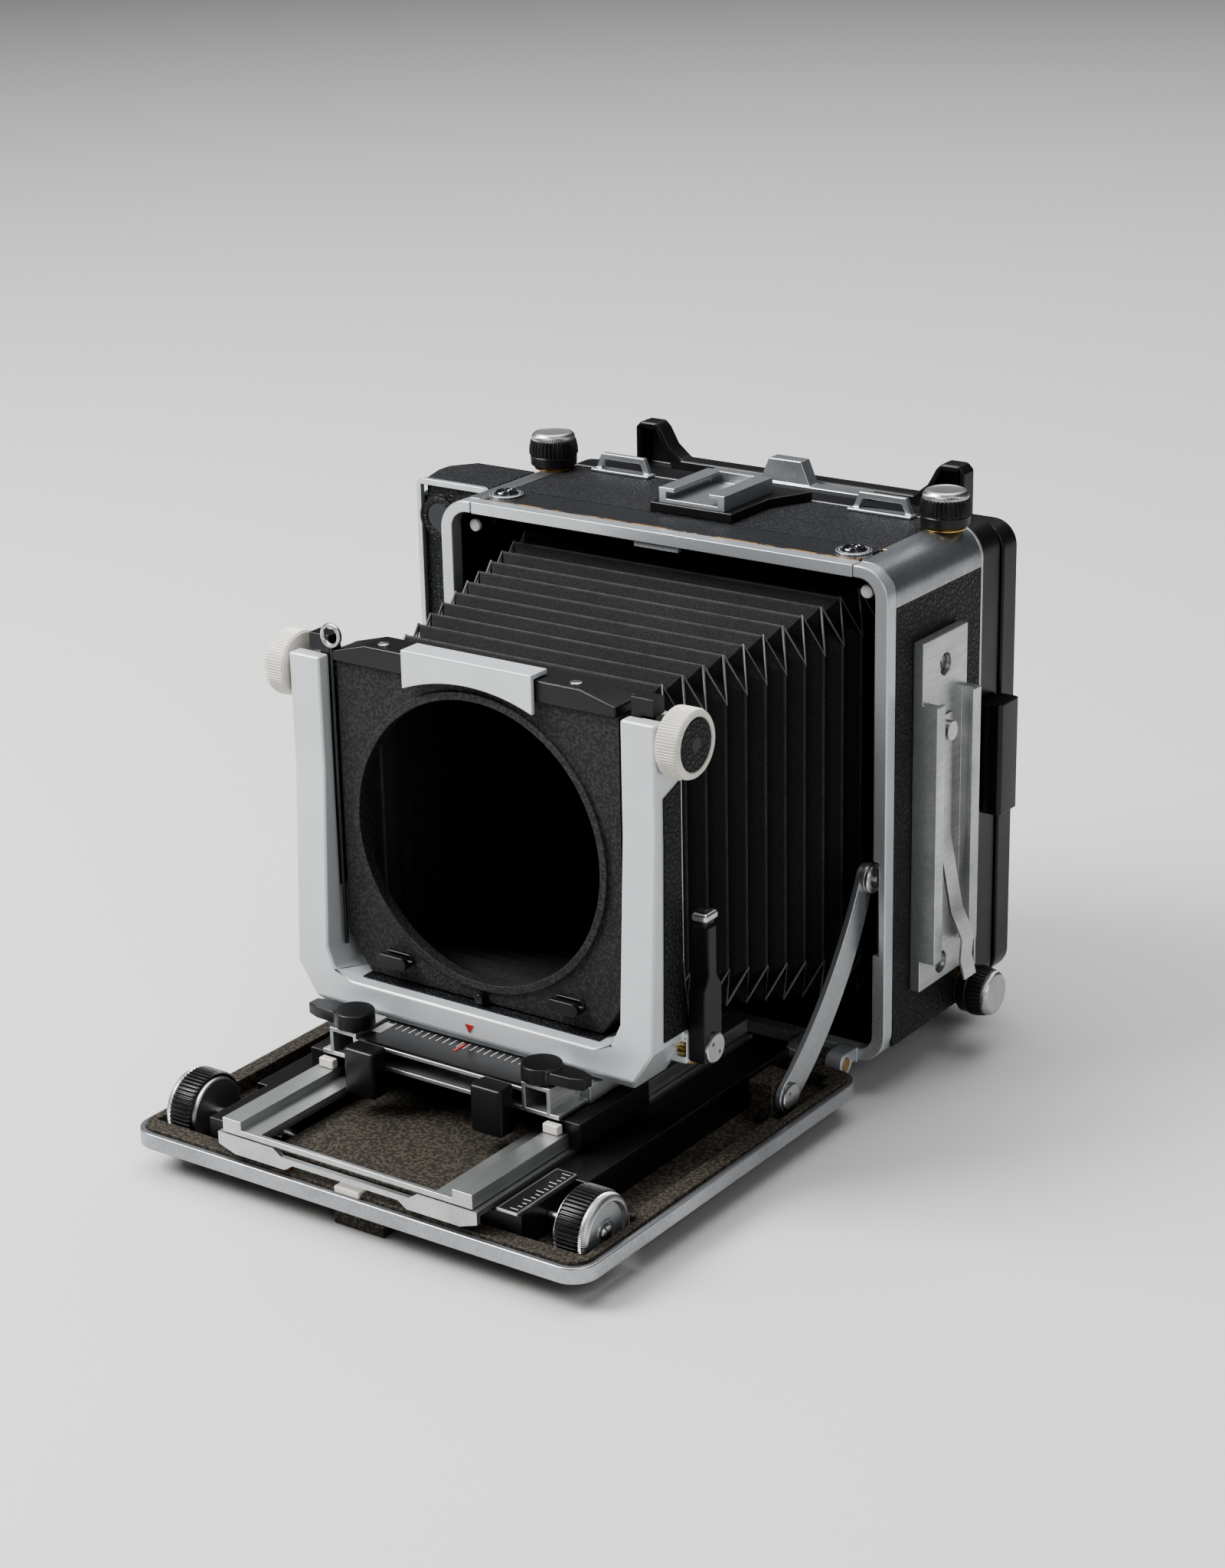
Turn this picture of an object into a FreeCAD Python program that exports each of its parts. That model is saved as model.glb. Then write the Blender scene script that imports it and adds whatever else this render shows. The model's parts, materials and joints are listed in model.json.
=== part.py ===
"""4x5 folding field camera with a drop bed, a triple-extension track and a revolving back.

Everything is drawn from the housing's lower front edge: X to the operator's left, Y to the rear,
Z up, y = 0 at the housing's front plane and z = 0 at its underside. save() then moves each piece
so that the origin is the mouth of the tripod socket, in the underside of the base plate.
"""
import FreeCAD, Part
import math
import os

Vec = FreeCAD.Vector

# ---- housing ----
BODY_W = 163.0           # overall width
BODY_H = 156.5           # overall height
BODY_D = 57.0            # front plane to rear edge
CORNER_R = 10.0          # rounded long edges
WALL = 4.5               # cast wall
RIM_D = 5.0              # depth of the front rim
RIM_TOP = 3.7            # visible height of the front rim's top bar
REAR_RIM_D = 1.5         # depth of the rear edge trim
SKIN = 0.8               # leather covering
CORNER_BAND = 12.5       # bare rounded edge left between top and side coverings
COVER_EDGE = 5.0         # bare strip under the side coverings
CLEAR = 0.3              # gap between pieces that move past each other
RUN = 0.05               # radial running clearance of shafts and pins
SEAT = 0.02              # radial clearance of pieces fixed in their bores

# ---- tripod base ----
BASE_H = 11.0
BASE_W = 76.0
BASE_FRONT = 6.0
BASE_REAR = 52.0
SOCKET_Y = 24.0          # large tripod socket, behind the front plane
SOCKET_GAP = 18.0        # from the large to the small socket
SOCKET_R = 3.97          # tapping bore of a 3/8-16 thread
SMALL_SOCKET_R = 2.55    # tapping bore of a 1/4-20 thread
SOCKET_DEPTH = 8.0
BUSH_WALL = 3.5

# ---- top flap and its buttons ----
FLAP_HALF = 69.2
FLAP_D = 19.0
FLAP_T = 3.7
CATCH_W = 16.0
CATCH_DROP = 2.0
BUTTON_X = 63.4
BUTTON_Y = 11.0
BUTTON_R = 3.5
BUTTON_RING_R = 5.4
BUTTON_RING_H = 1.2
BUTTON_RISE = 2.0

# ---- back lock knobs and rods ----
ROD_INSET = 9.0          # rod centre from the housing's outer faces
ROD_R = 2.5
ROD_FRONT = 14.0
KNOB_Y = 49.0
KNOB_H = 12.0
KNOB_R = 8.0
KNOB_NECK_R = 6.8
KNOB_NECK_H = 3.6
KNOB_TOP_R = 6.65
KNOB_STEM_R = 2.0
BLOCK_SIZE = 10.5        # corner blocks that guide the rods
BLOCK_FRONT = 40.0

# ---- rangefinder housing ----
RF_FRONT = 25.0
RF_REAR = 51.0
RF_OUT = 29.5            # how far it stands out of the housing at the front
RF_BULGE = 3.0
RF_BOTTOM = 58.0
RF_DROP = 3.0            # its top lies this far under the housing's top
RF_FRAME_T = 2.0
RF_BEZEL = 2.0
RF_CHAMFER = 6.0
RF_WINDOW_IN = 8.4       # window centre from the housing's outer side
RF_WINDOW_DOWN = 15.5
RF_RING_R = 7.0
RF_GLASS_R = 4.6
GLASS_T = 1.2
EYEPIECE_R = 6.5

# ---- grip rail ----
RAIL_Y0 = 15.0
RAIL_Y1 = 41.5
RAIL_Z0 = 20.0
RAIL_Z1 = 131.0
RAIL_T = 3.5
LIP_T = 3.3
LIP_H = 5.0
LIP_Z0 = 30.0
LIP_Z1 = 112.0
LIP_HOOK = 1.5
RAIL_HOLE_R = 3.4
SPRING_T = 0.8
SPRING_W = 7.0

# ---- accessory shoe and strap loops ----
SHOE_BASE_W = 30.0
SHOE_BASE_T = 3.0
SHOE_BASE_FRONT = 20.0
SHOE_FRONT = 20.6
SHOE_L = 27.5
SHOE_W = 24.0
SHOE_FOOT_W = 18.7       # width of a standard accessory foot and its clearance
SHOE_SLOT_H = 2.1
SHOE_LIP_GAP = 12.6
SHOE_SHEET = 1.4
LOOP_X = 48.2
LOOP_W = 20.5
LOOP_H = 5.0
LOOP_Y = 54.0
WIRE = 2.0
LOOP_PLATE_T = 1.0

# ---- drop bed ----
BED_GAP = 11.7           # housing front plane to the bed's rear edge
BED_SHORT = 10.2         # the bed is this much shorter than the housing is high
BED_L = BODY_H - BED_SHORT
BED_FRONT = -(BED_GAP + BED_L)
BED_REAR = -BED_GAP
BED_LOW = -3.0
BED_TOP = 2.0
BED_RIM_T = 2.0
BED_CORNER_R = 8.0
TRAY_FLOOR_T = 1.2
TRAY_FLANGE_W = 5.5
TRAY_FLANGE_TOP = 3.0
PLATE_TOP = 6.5
PLATE_T = 1.2
PLATE_HALF = 31.0
RIB_X = 25.0
RIB_T = 2.0
RIB_GAP = 0.6            # room round the focusing shaft in the ribs
HINGE_Y = -6.0
HINGE_Z = 1.0
HINGE_LUG_R = 3.5
HINGE_LUG_X = 62.0
HINGE_LUG_W = 7.4
HINGE_EAR_W = 6.0
HINGE_PIN_R = 2.0
BED_FOOT_W = 18.0

# ---- struts ----
STRUT_LOW_Y = -43.5
STRUT_LOW_Z = 6.2
STRUT_TOP_Y = 0.8
STRUT_TOP_Z = 60.5
STRUT_FROM_WALL = 4.0    # strut's inner face to the housing's inner wall
STRUT_SIDE_IN = WALL + STRUT_FROM_WALL
STRUT_T = 2.0
STRUT_W = 10.0
STRUT_BOW = 5.0
STRUT_HEAD_R = 4.7
STRUT_HEAD_T = 1.4
STRUT_PIN_R = 1.0
STRUT_PIVOT_R = 2.0
BRACKET_TOP = 11.5
BRACKET_W = 12.0
BRACKET_T = 8.0
NOTCH_FRONT = 9.0        # room for a strut in the tray's flange
NOTCH_REAR = 19.0
SLOT_LOW = 36.0
SLOT_HIGH = 66.0
SLOT_D = 3.0
SLOT_DEEP = 2.0

# ---- tracks and focusing drive ----
TRACK_REAR = -19.0
TRACK_Z = 8.35           # underside of the main track's bars
TRACK_T = 1.65
TRACK_IN = 33.0
TRACK_OUT = 46.5
UPPER_IN = 31.5
UPPER_STEP = 38.0
UPPER_OUT = 44.8
UPPER_STEP_T = 1.7
RAIL_TOP = 14.7
FRONT_PLATE_T = 1.5
FRONT_PLATE_LOW = 4.2
GUIDE_OUT = 60.0
GUIDE_OUT_FRONT = 56.3
GUIDE_STEP = 12.5
GUIDE_TOP = 9.0
GUIDE_LIP = 4.8
RACK_X = 38.0
RACK_W = 3.6
SHAFT_IN = 20.5          # focusing shaft, back from the bed's front edge
SHAFT_Y = BED_FRONT + SHAFT_IN
SHAFT_R = 1.6
SHAFT_Z = PLATE_TOP - PLATE_T - CLEAR - SHAFT_R     # just under the bed's middle plate
PINION_PITCH_R = 4.2
PINION_TEETH = 14
PINION_TIP = 0.35
PINION_ROOT = 0.6
RACK_MESH = 0.2          # depth of the rack's teeth in the pinion's pitch circle
RACK_TIP = SHAFT_Z + PINION_PITCH_R - RACK_MESH
TOOTH_H = 0.6
FOCUS_R = 11.8
FOCUS_IN_X = 64.5
FOCUS_OUT_X = 76.0
SCALE_L = 28.0
SCALE_W = 7.0
SCALE_T = 0.8

# ---- front standard: carriage, swing plate and shift rail ----
CARRIAGE_FRONT = -112.5
CARRIAGE_REAR = -78.0
CARRIAGE_HALF = 49.0
CARRIAGE_TOP = 18.5
CARRIAGE_SKIRT = 10.4
CARRIAGE_NOTCH = 8.5     # room for the pinch tabs as the standard swings
SWING_HALF = 44.0
SWING_PIVOT_R = 7.0
SWING_PIVOT_H = 2.5
SWING_TOP = 23.7
RAIL_FRONT = -114.0
RAIL_REAR = -99.2
SWING_Y = -88.0
PROFILE_HALF = 40.0
PROFILE_BOX = 10.0
PROFILE_TOP = 27.7
PROFILE_WALL = 1.3
PROFILE_FOOT = 3.0
RULER_HALF = 29.3
RULER_T = 0.8
TAB_X = 23.0
TAB_W = 11.0
TAB_D = 7.0
TAB_LOW = 12.5
TAB_HIGH = 27.0
TAB_GAP = 1.0
LEVER_X = 34.0
LEVER_Y = -109.3
LEVER_R = 6.0
LEVER_H = 5.0
LEVER_REACH = 16.0
LEVER_STEM_R = 1.8

# ---- U-frame ----
U_OUT = 64.5
U_IN = 53.0
U_TOP = 134.0
U_LOW = 24.0
U_SILL = 35.5
U_FRONT = -95.0
U_FRONT_LOW = -98.4
U_REAR = -81.5
U_REAR_LOW = -78.5
U_CHAMFER_X = 9.0
U_CHAMFER_Z = 14.0
U_INNER_R = 9.0
INLAY_T = 0.5
RISER_Y = -87.0
RISER_W = 5.6
RISER_T = 3.4
RISER_LOW = 62.0
RISER_CLIP_H = 5.0
TILT_Z = 128.0
AXLE_R = 2.2
SLOT_CLEAR = 0.5
TILT_KNOB_R = 10.0
TILT_KNOB_W = 7.8

# ---- lens panel ----
PANEL_HALF = 50.0
PANEL_LOW = 36.5
PANEL_HIGH = 133.0
PANEL_FRONT = -91.0
PANEL_T = 3.0
PANEL_REAR = -80.0
PANEL_CUT_X = 8.0        # cut lower corners
PANEL_CUT_Z = 11.0
OPENING_R = 43.0
OPENING_Z = 85.8
OPENING_RING_W = 2.5
OPENING_RING_H = 1.0
BRIDGE_END_H = 3.0
BRIDGE_MID_H = 6.3
BRIDGE_PROUD = 1.5
HOOK_X = 31.0
HOOK_Z = 43.5
HOOK_W = 11.0
HOOK_H = 4.0
HOOK_D = 4.5
PIN_R = 1.5
PIN_L = 3.0
LOCK_HALF = 23.0
LOCK_T = 1.6
LOCK_LOW = 129.5
LOCK_ARCH = 4.5
LEVER_PIVOT_Y = -78.0
LEVER_PIVOT_Z = 34.6
RISE_IN_X = 66.0
RISE_W = 5.5
RISE_L = 41.0

# ---- bellows ----
BELLOWS_WALL = 3.0
BELLOWS_FRONT_HALF = 47.0
BELLOWS_REAR_GAP = 12.5  # bellows end, in from the housing's outer sides
BELLOWS_REAR_Y = 34.0
FRAME_GAP = 9.5
FRAME_T = 3.0
FRAME_W = 10.0

# ---- rear extension, revolving back and ground glass ----
BACK_T = 13.0
BACK_INSET = 1.5
BACK_WINDOW_X = 62.0
BACK_WINDOW_Z = 62.0
REVOLVE_T = 8.9
REVOLVE_H = 149.5
REVOLVE_W = 162.0
REVOLVE_R = 8.0
FILM_X = 52.0
FILM_Z = 64.0
GG_HALF_X = 61.5
GG_LOW = 0.5
GG_HIGH = 155.7
GG_T = 7.0
GG_OPEN_X = 48.0
GG_OPEN_Z = 60.5
GG_REBATE = 2.7
GG_PANE_T = 1.5
HORN_TOP = 167.0
HORN_TOP_W = 10.0
HORN_BASE_W = 18.0
HORN_EDGE = 2.0          # edge left round the horn's pocket
HORN_POCKET = 4.0        # depth of the pocket
HOOD_HALF = 55.0
HOOD_LOW = 12.0
HOOD_HIGH = 146.0
HOOD_T = 6.5
SLIDE_HALF = 30.0
SLIDE_TAB_LOW = 19.0
SLIDE_TAB_TOP = 12.0
SLIDE_TAB_H = 7.5
SLIDE_BAR_H = 2.0
LATCH_Z0 = 64.0
LATCH_Z1 = 100.0
LATCH_OUT = 7.5
LATCH_Y_IN = 1.2

HALF = BODY_W / 2.0
SIDES = (-1, 1)
MID_Z = BODY_H / 2.0
LEVER_Z = PROFILE_TOP + CLEAR
BACK_Y = BODY_D + CLEAR
REVOLVE_Y = BACK_Y + BACK_T + CLEAR
GG_Y = REVOLVE_Y + REVOLVE_T + CLEAR


def box(x0, x1, y0, y1, z0, z1):
    """Block between two opposite corners."""
    low = Vec(min(x0, x1), min(y0, y1), min(z0, z1))
    return Part.makeBox(abs(x1 - x0), abs(y1 - y0), abs(z1 - z0), low)


def rounded(x0, x1, y0, y1, z0, z1, radius, axis):
    """Block whose four edges along one axis (0 X, 1 Y, 2 Z) are rounded."""
    block = box(x0, x1, y0, y1, z0, z1)
    long_edges = []
    for edge in block.Edges:
        run = edge.Vertexes[1].Point - edge.Vertexes[0].Point
        if abs(run[axis]) > 1e-6:
            long_edges.append(edge)
    return block.makeFillet(radius, long_edges)


def rod(x, y, z, radius, length, direction):
    """Round bar that starts at a point and runs along a direction."""
    return Part.makeCylinder(radius, length, Vec(x, y, z), direction)


ALONG_X = Vec(1, 0, 0)
ALONG_Y = Vec(0, 1, 0)
ALONG_Z = Vec(0, 0, 1)


def prism(points, plane, start, end):
    """Flat outline in the XZ, YZ or XY plane, extended along the third axis."""
    place = {
        "XZ": lambda a, b: Vec(a, start, b),
        "YZ": lambda a, b: Vec(start, a, b),
        "XY": lambda a, b: Vec(a, b, start),
    }[plane]
    along = {"XZ": ALONG_Y, "YZ": ALONG_X, "XY": ALONG_Z}[plane]
    corners = [place(a, b) for a, b in points]
    face = Part.Face(Part.makePolygon(corners + [corners[0]]))
    return face.extrude(along * (end - start))


def mirrored(shape):
    """The same shape on the other side of the middle plane."""
    return shape.mirror(Vec(0, 0, 0), ALONG_X)


def on_side(shape, side):
    """A shape drawn on the +X side, on the side asked for."""
    return shape if side > 0 else mirrored(shape)


def both(shape):
    """A shape drawn on the +X side, and its mirror image."""
    return [shape, mirrored(shape)]


def joined(shapes):
    """One solid from overlapping or touching shapes."""
    whole = shapes[0]
    for extra in shapes[1:]:
        whole = whole.fuse(extra)
    return whole.removeSplitter()


def minus(shape, cutters):
    """A shape with others cut away."""
    for cutter in cutters:
        shape = shape.cut(cutter)
    return shape


def save(node, shapes):
    """Writes one sub-part, moved to the row's origin."""
    solids = []
    for shape in shapes:
        solids += shape.Solids
    for solid in solids:
        if not solid.isValid():
            raise ValueError(node + " has a solid that is not valid")
    whole = solids[0] if len(solids) == 1 else Part.makeCompound(solids)
    whole.translate(Vec(0, -SOCKET_Y, BASE_H))
    whole.exportStep(os.path.join("parts", node + ".step"))
    print(node, len(solids), round(sum(solid.Volume for solid in solids)))


# ---------------- housing ----------------

def flap_gap():
    """Room for the top flap in the housing and its front rim."""
    half = FLAP_HALF + CLEAR
    return box(-half, half, -1, FLAP_D + CLEAR, BODY_H - WALL - 1, BODY_H + 1)


def knob_axis_holes(radius):
    """Holes for the stems of the four back lock knobs."""
    rod_x = HALF - ROD_INSET
    holes = []
    for side in SIDES:
        holes.append(rod(side * rod_x, KNOB_Y, BODY_H - ROD_INSET, radius, 2 * ROD_INSET, ALONG_Z))
        holes.append(rod(side * rod_x, KNOB_Y, ROD_INSET, radius, 2 * ROD_INSET, ALONG_X * side))
    return holes


def rod_bores(radius):
    """The four corner bores that the back's rods slide in."""
    bores = []
    for side in SIDES:
        for height in (ROD_INSET, BODY_H - ROD_INSET):
            bores.append(rod(side * (HALF - ROD_INSET), 0, height, radius, BODY_D, ALONG_Y))
    return bores


def side_pocket(side):
    """Shallow recess for a side covering."""
    return box(side * (HALF - SKIN), side * (HALF + 1), RIM_D, BODY_D - REAR_RIM_D,
               COVER_EDGE, BODY_H - CORNER_BAND)


def housing_shell():
    """Cast box, open at the front and the rear, with corner blocks for the rods."""
    y0, y1 = RIM_D, BODY_D - REAR_RIM_D
    outer = rounded(-HALF, HALF, y0, y1, 0, BODY_H, CORNER_R, 1)
    inner = rounded(WALL - HALF, HALF - WALL, y0 - 1, y1 + 1, WALL, BODY_H - WALL, CORNER_R - WALL, 1)
    shell = outer.cut(inner)
    for side in SIDES:
        for low in (WALL, BODY_H - WALL - BLOCK_SIZE):
            block = box(side * (HALF - WALL - BLOCK_SIZE), side * (HALF - WALL + 1),
                        BLOCK_FRONT, y1, low - 1, low + BLOCK_SIZE + 1)
            shell = shell.fuse(block.common(outer))
    top_half = HALF - CORNER_BAND - 1
    top_pocket = box(-top_half, top_half, y0, y1, BODY_H - SKIN, BODY_H + 1)
    cutters = [side_pocket(-1), side_pocket(1), top_pocket, flap_gap()]
    return minus(shell, cutters + rod_bores(ROD_R + RUN) + knob_axis_holes(KNOB_STEM_R + RUN))


def body_rims():
    """Front rim with strut slots and hinge ears, and the thin rear edge trim."""
    outer = rounded(-HALF, HALF, 0, RIM_D, 0, BODY_H, CORNER_R, 1)
    inner = rounded(WALL - HALF, HALF - WALL, -1, RIM_D + 1, WALL - 0.5, BODY_H - RIM_TOP,
                    CORNER_R - WALL, 1)
    front = minus(outer.cut(inner), [flap_gap()])
    for side in SIDES:
        slot = box(side * (HALF - WALL - 1), side * (HALF - WALL + SLOT_DEEP), -1, SLOT_D, SLOT_LOW, SLOT_HIGH)
        front = front.cut(slot)
        for reach in (-1, 1):
            edge = HINGE_LUG_X + reach * (HINGE_LUG_W / 2 + CLEAR)
            ear = rod(side * edge, HINGE_Y, HINGE_Z, HINGE_LUG_R, HINGE_EAR_W, ALONG_X * (side * reach))
            arm = box(side * edge, side * (edge + reach * HINGE_EAR_W), HINGE_Y, 0.5,
                      HINGE_Z - HINGE_LUG_R + 2.5, HINGE_Z + HINGE_LUG_R)
            front = front.fuse(ear).fuse(arm)
        bore = rod(side * (HINGE_LUG_X - 15), HINGE_Y, HINGE_Z, HINGE_PIN_R + SEAT, 30, ALONG_X * side)
        front = front.cut(bore)
    y0 = BODY_D - REAR_RIM_D
    rear_outer = rounded(-HALF, HALF, y0, BODY_D, 0, BODY_H, CORNER_R, 1)
    rear_inner = rounded(WALL - HALF, HALF - WALL, y0 - 1, BODY_D + 1, WALL, BODY_H - WALL,
                         CORNER_R - WALL, 1)
    rear = minus(rear_outer.cut(rear_inner), rod_bores(ROD_R + RUN))
    return [front, rear]


def body_coverings():
    """Leather sheets on both sides and on the fixed part of the top."""
    stems = knob_axis_holes(KNOB_STEM_R + 1)
    sheets = []
    for side in SIDES:
        sheet = box(side * (HALF - SKIN), side * HALF, RIM_D, BODY_D - REAR_RIM_D,
                    COVER_EDGE, BODY_H - CORNER_BAND)
        sheets.append(minus(sheet, stems))
    top_half = HALF - CORNER_BAND - 1
    sheets.append(box(-top_half, top_half, FLAP_D + CLEAR, BODY_D - REAR_RIM_D,
                      BODY_H - SKIN, BODY_H))
    return sheets


def socket_places():
    """Place and bore radius of the two tripod sockets."""
    return ((SOCKET_Y, SOCKET_R), (SOCKET_Y + SOCKET_GAP, SMALL_SOCKET_R))


def base_plate():
    """Plate under the housing that a tripod head bolts to."""
    plate = rounded(-BASE_W / 2, BASE_W / 2, BASE_FRONT, BASE_REAR, -BASE_H, 0, 6.0, 2)
    bores = [rod(0, y, -BASE_H, r + BUSH_WALL + SEAT, SOCKET_DEPTH + 1, ALONG_Z)
             for y, r in socket_places()]
    return minus(plate, bores)


def tripod_bushes():
    """Two steel bushes with blind bores, open downwards."""
    bushes = []
    for y, r in socket_places():
        body = rod(0, y, -BASE_H, r + BUSH_WALL, SOCKET_DEPTH + 1, ALONG_Z)
        bushes.append(body.cut(rod(0, y, -BASE_H, r, SOCKET_DEPTH, ALONG_Z)))
    return bushes


def rangefinder_outline(inset):
    """Outline of the rangefinder housing, seen from above."""
    out = HALF + RF_OUT - inset
    return [(-HALF, RF_FRONT + RF_FRAME_T), (-out, RF_FRONT + RF_FRAME_T),
            (-out - RF_BULGE, RF_FRONT + 12), (-out - RF_BULGE, RF_REAR - 8),
            (-out + 3, RF_REAR), (-HALF, RF_REAR)]


def rangefinder_housing():
    """Leather-covered box on the operator's right, with its windows' seats."""
    top = BODY_H - RF_DROP
    shell = prism(rangefinder_outline(0), "XY", RF_BOTTOM, top - RF_CHAMFER)
    cap = prism(rangefinder_outline(RF_CHAMFER / 2), "XY", top - RF_CHAMFER, top)
    shell = joined([shell, cap])
    x = -(HALF + RF_OUT - RF_WINDOW_IN)
    z = BODY_H - RF_WINDOW_DOWN
    ring = rod(x, RF_FRONT + 0.6, z, RF_RING_R, RF_FRAME_T, ALONG_Y)
    eyepiece = rod(x, RF_REAR - 1, z, EYEPIECE_R, 3.5, ALONG_Y)
    shell = joined([shell, ring, eyepiece])
    seats = [rod(x, RF_FRONT, z, RF_GLASS_R + SEAT, GLASS_T + 1.0, ALONG_Y),
             rod(x, RF_REAR + 1, z, RF_GLASS_R + SEAT, 4.0, ALONG_Y)]
    return [minus(shell, seats)]


def rangefinder_frame():
    """Silver frame around the recessed front of the rangefinder housing."""
    out = HALF + RF_OUT
    y1 = RF_FRONT + RF_FRAME_T
    top = BODY_H - RF_DROP
    outer = rounded(-out, -HALF, RF_FRONT, y1, RF_BOTTOM, top, 3.0, 1)
    inner = box(-out + RF_BEZEL, -HALF - RF_BEZEL, RF_FRONT - 1, y1 + 1, RF_BOTTOM + RF_BEZEL, top - RF_BEZEL)
    x = -(HALF + RF_OUT - RF_WINDOW_IN)
    ring = rod(x, RF_FRONT - 1, BODY_H - RF_WINDOW_DOWN, RF_RING_R + SEAT, RF_FRAME_T + 2, ALONG_Y)
    return [minus(outer, [inner, ring])]


def rangefinder_window():
    """Front window and eyepiece glass."""
    x = -(HALF + RF_OUT - RF_WINDOW_IN)
    z = BODY_H - RF_WINDOW_DOWN
    return [rod(x, RF_FRONT + 1.0, z, RF_GLASS_R, GLASS_T, ALONG_Y),
            rod(x, RF_REAR + 1.0, z, RF_GLASS_R, GLASS_T, ALONG_Y)]


def grip_rail():
    """Aluminium channel on the operator's left that takes a hand strap or grip."""
    base_x = HALF + RAIL_T
    lip_x = base_x + LIP_H
    plate = box(HALF, base_x, RAIL_Y0, RAIL_Y1, RAIL_Z0, RAIL_Z1)
    front = box(base_x, lip_x, RAIL_Y0, RAIL_Y0 + LIP_T, LIP_Z0, LIP_Z1)
    rear = box(base_x, lip_x, RAIL_Y1 - LIP_T, RAIL_Y1, LIP_Z0, LIP_Z1)
    hook_x = lip_x - LIP_HOOK
    front_hook = box(hook_x, lip_x, RAIL_Y0, RAIL_Y0 + LIP_T + LIP_HOOK, LIP_Z0, LIP_Z1)
    rear_hook = box(hook_x, lip_x, RAIL_Y1 - LIP_T - LIP_HOOK, RAIL_Y1, LIP_Z0, LIP_Z1)
    mid_y = (RAIL_Y0 + RAIL_Y1) / 2
    holes = []
    for z in (RAIL_Z0 + 5.5, RAIL_Z1 - 9.5):
        holes.append(rod(HALF - 1, mid_y, z, RAIL_HOLE_R, RAIL_T + 2, ALONG_X))
    return [minus(joined([plate, front, rear, front_hook, rear_hook]), holes)]


def band(points, thickness, y0, y1):
    """Strip of even thickness along a line in the XZ plane."""
    left, right = [], []
    for i in range(len(points)):
        before = points[max(i - 1, 0)]
        after = points[min(i + 1, len(points) - 1)]
        dx, dz = after[0] - before[0], after[1] - before[1]
        size = math.hypot(dx, dz)
        nx, nz = -dz / size * thickness / 2, dx / size * thickness / 2
        left.append((points[i][0] + nx, points[i][1] + nz))
        right.append((points[i][0] - nx, points[i][1] - nz))
    return prism(left + right[::-1], "XZ", y0, y1)


def grip_spring():
    """Leaf spring in the channel, kinked outwards over its lower end, and its head screw."""
    x = HALF + RAIL_T + SPRING_T / 2
    mid_y = (RAIL_Y0 + RAIL_Y1) / 2
    y0, y1 = mid_y - SPRING_W / 2, mid_y + SPRING_W / 2
    line = [(x, LIP_Z1 - 6), (x, LIP_Z1 - 45), (x + 4.5, LIP_Z0 + 14), (x + 7.0, LIP_Z0 + 9),
            (x + 8.5, LIP_Z0 + 6), (x + 8.0, LIP_Z0 - 1), (x + 9.6, LIP_Z0 - 7)]
    leaf = band(line, SPRING_T, y0, y1)
    screw = rod(x, mid_y, LIP_Z1 - 11, 3.0, 2.4, ALONG_X)
    return [joined([leaf, screw])]


def shoe_base():
    """Black plate under the accessory shoe."""
    half = SHOE_BASE_W / 2
    rear = BODY_D - REAR_RIM_D
    outline = [(-half, SHOE_BASE_FRONT), (half, SHOE_BASE_FRONT), (half, rear - 14),
               (half + 7, rear), (-half, rear)]
    return [prism(outline, "XY", BODY_H, BODY_H + SHOE_BASE_T)]


def accessory_shoe():
    """Shoe for a standard accessory foot."""
    z0 = BODY_H + SHOE_BASE_T
    slot_top = z0 + SHOE_SHEET + SHOE_SLOT_H
    y1 = SHOE_FRONT + SHOE_L
    body = box(-SHOE_W / 2, SHOE_W / 2, SHOE_FRONT, y1, z0, slot_top + SHOE_SHEET)
    slot = box(-SHOE_FOOT_W / 2, SHOE_FOOT_W / 2, SHOE_FRONT - 1, y1 - 2, z0 + SHOE_SHEET, slot_top)
    gap = box(-SHOE_LIP_GAP / 2, SHOE_LIP_GAP / 2, SHOE_FRONT - 1, y1 - 2, z0 + SHOE_SHEET, slot_top + 3)
    return [minus(body, [slot, gap])]


def strap_loops():
    """Two wire loops on slotted plates for a neck strap."""
    half = LOOP_W / 2
    z0 = BODY_H + LOOP_PLATE_T
    outer = [(LOOP_X - half, z0), (LOOP_X - half + 2, z0 + LOOP_H), (LOOP_X + half - 2, z0 + LOOP_H),
             (LOOP_X + half, z0)]
    inner = [(LOOP_X - half + WIRE, z0), (LOOP_X - half + 2 + WIRE * 0.8, z0 + LOOP_H - WIRE),
             (LOOP_X + half - 2 - WIRE * 0.8, z0 + LOOP_H - WIRE), (LOOP_X + half - WIRE, z0)]
    y0, y1 = LOOP_Y - WIRE / 2, LOOP_Y + WIRE / 2
    wire = prism(outer, "XZ", y0, y1).cut(prism(inner, "XZ", y0 - 1, y1 + 1))
    plate = box(LOOP_X - half - 1, LOOP_X + half + 1, y0 - 2, BODY_D - REAR_RIM_D, BODY_H, z0)
    return both(joined([plate, wire]))


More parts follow.
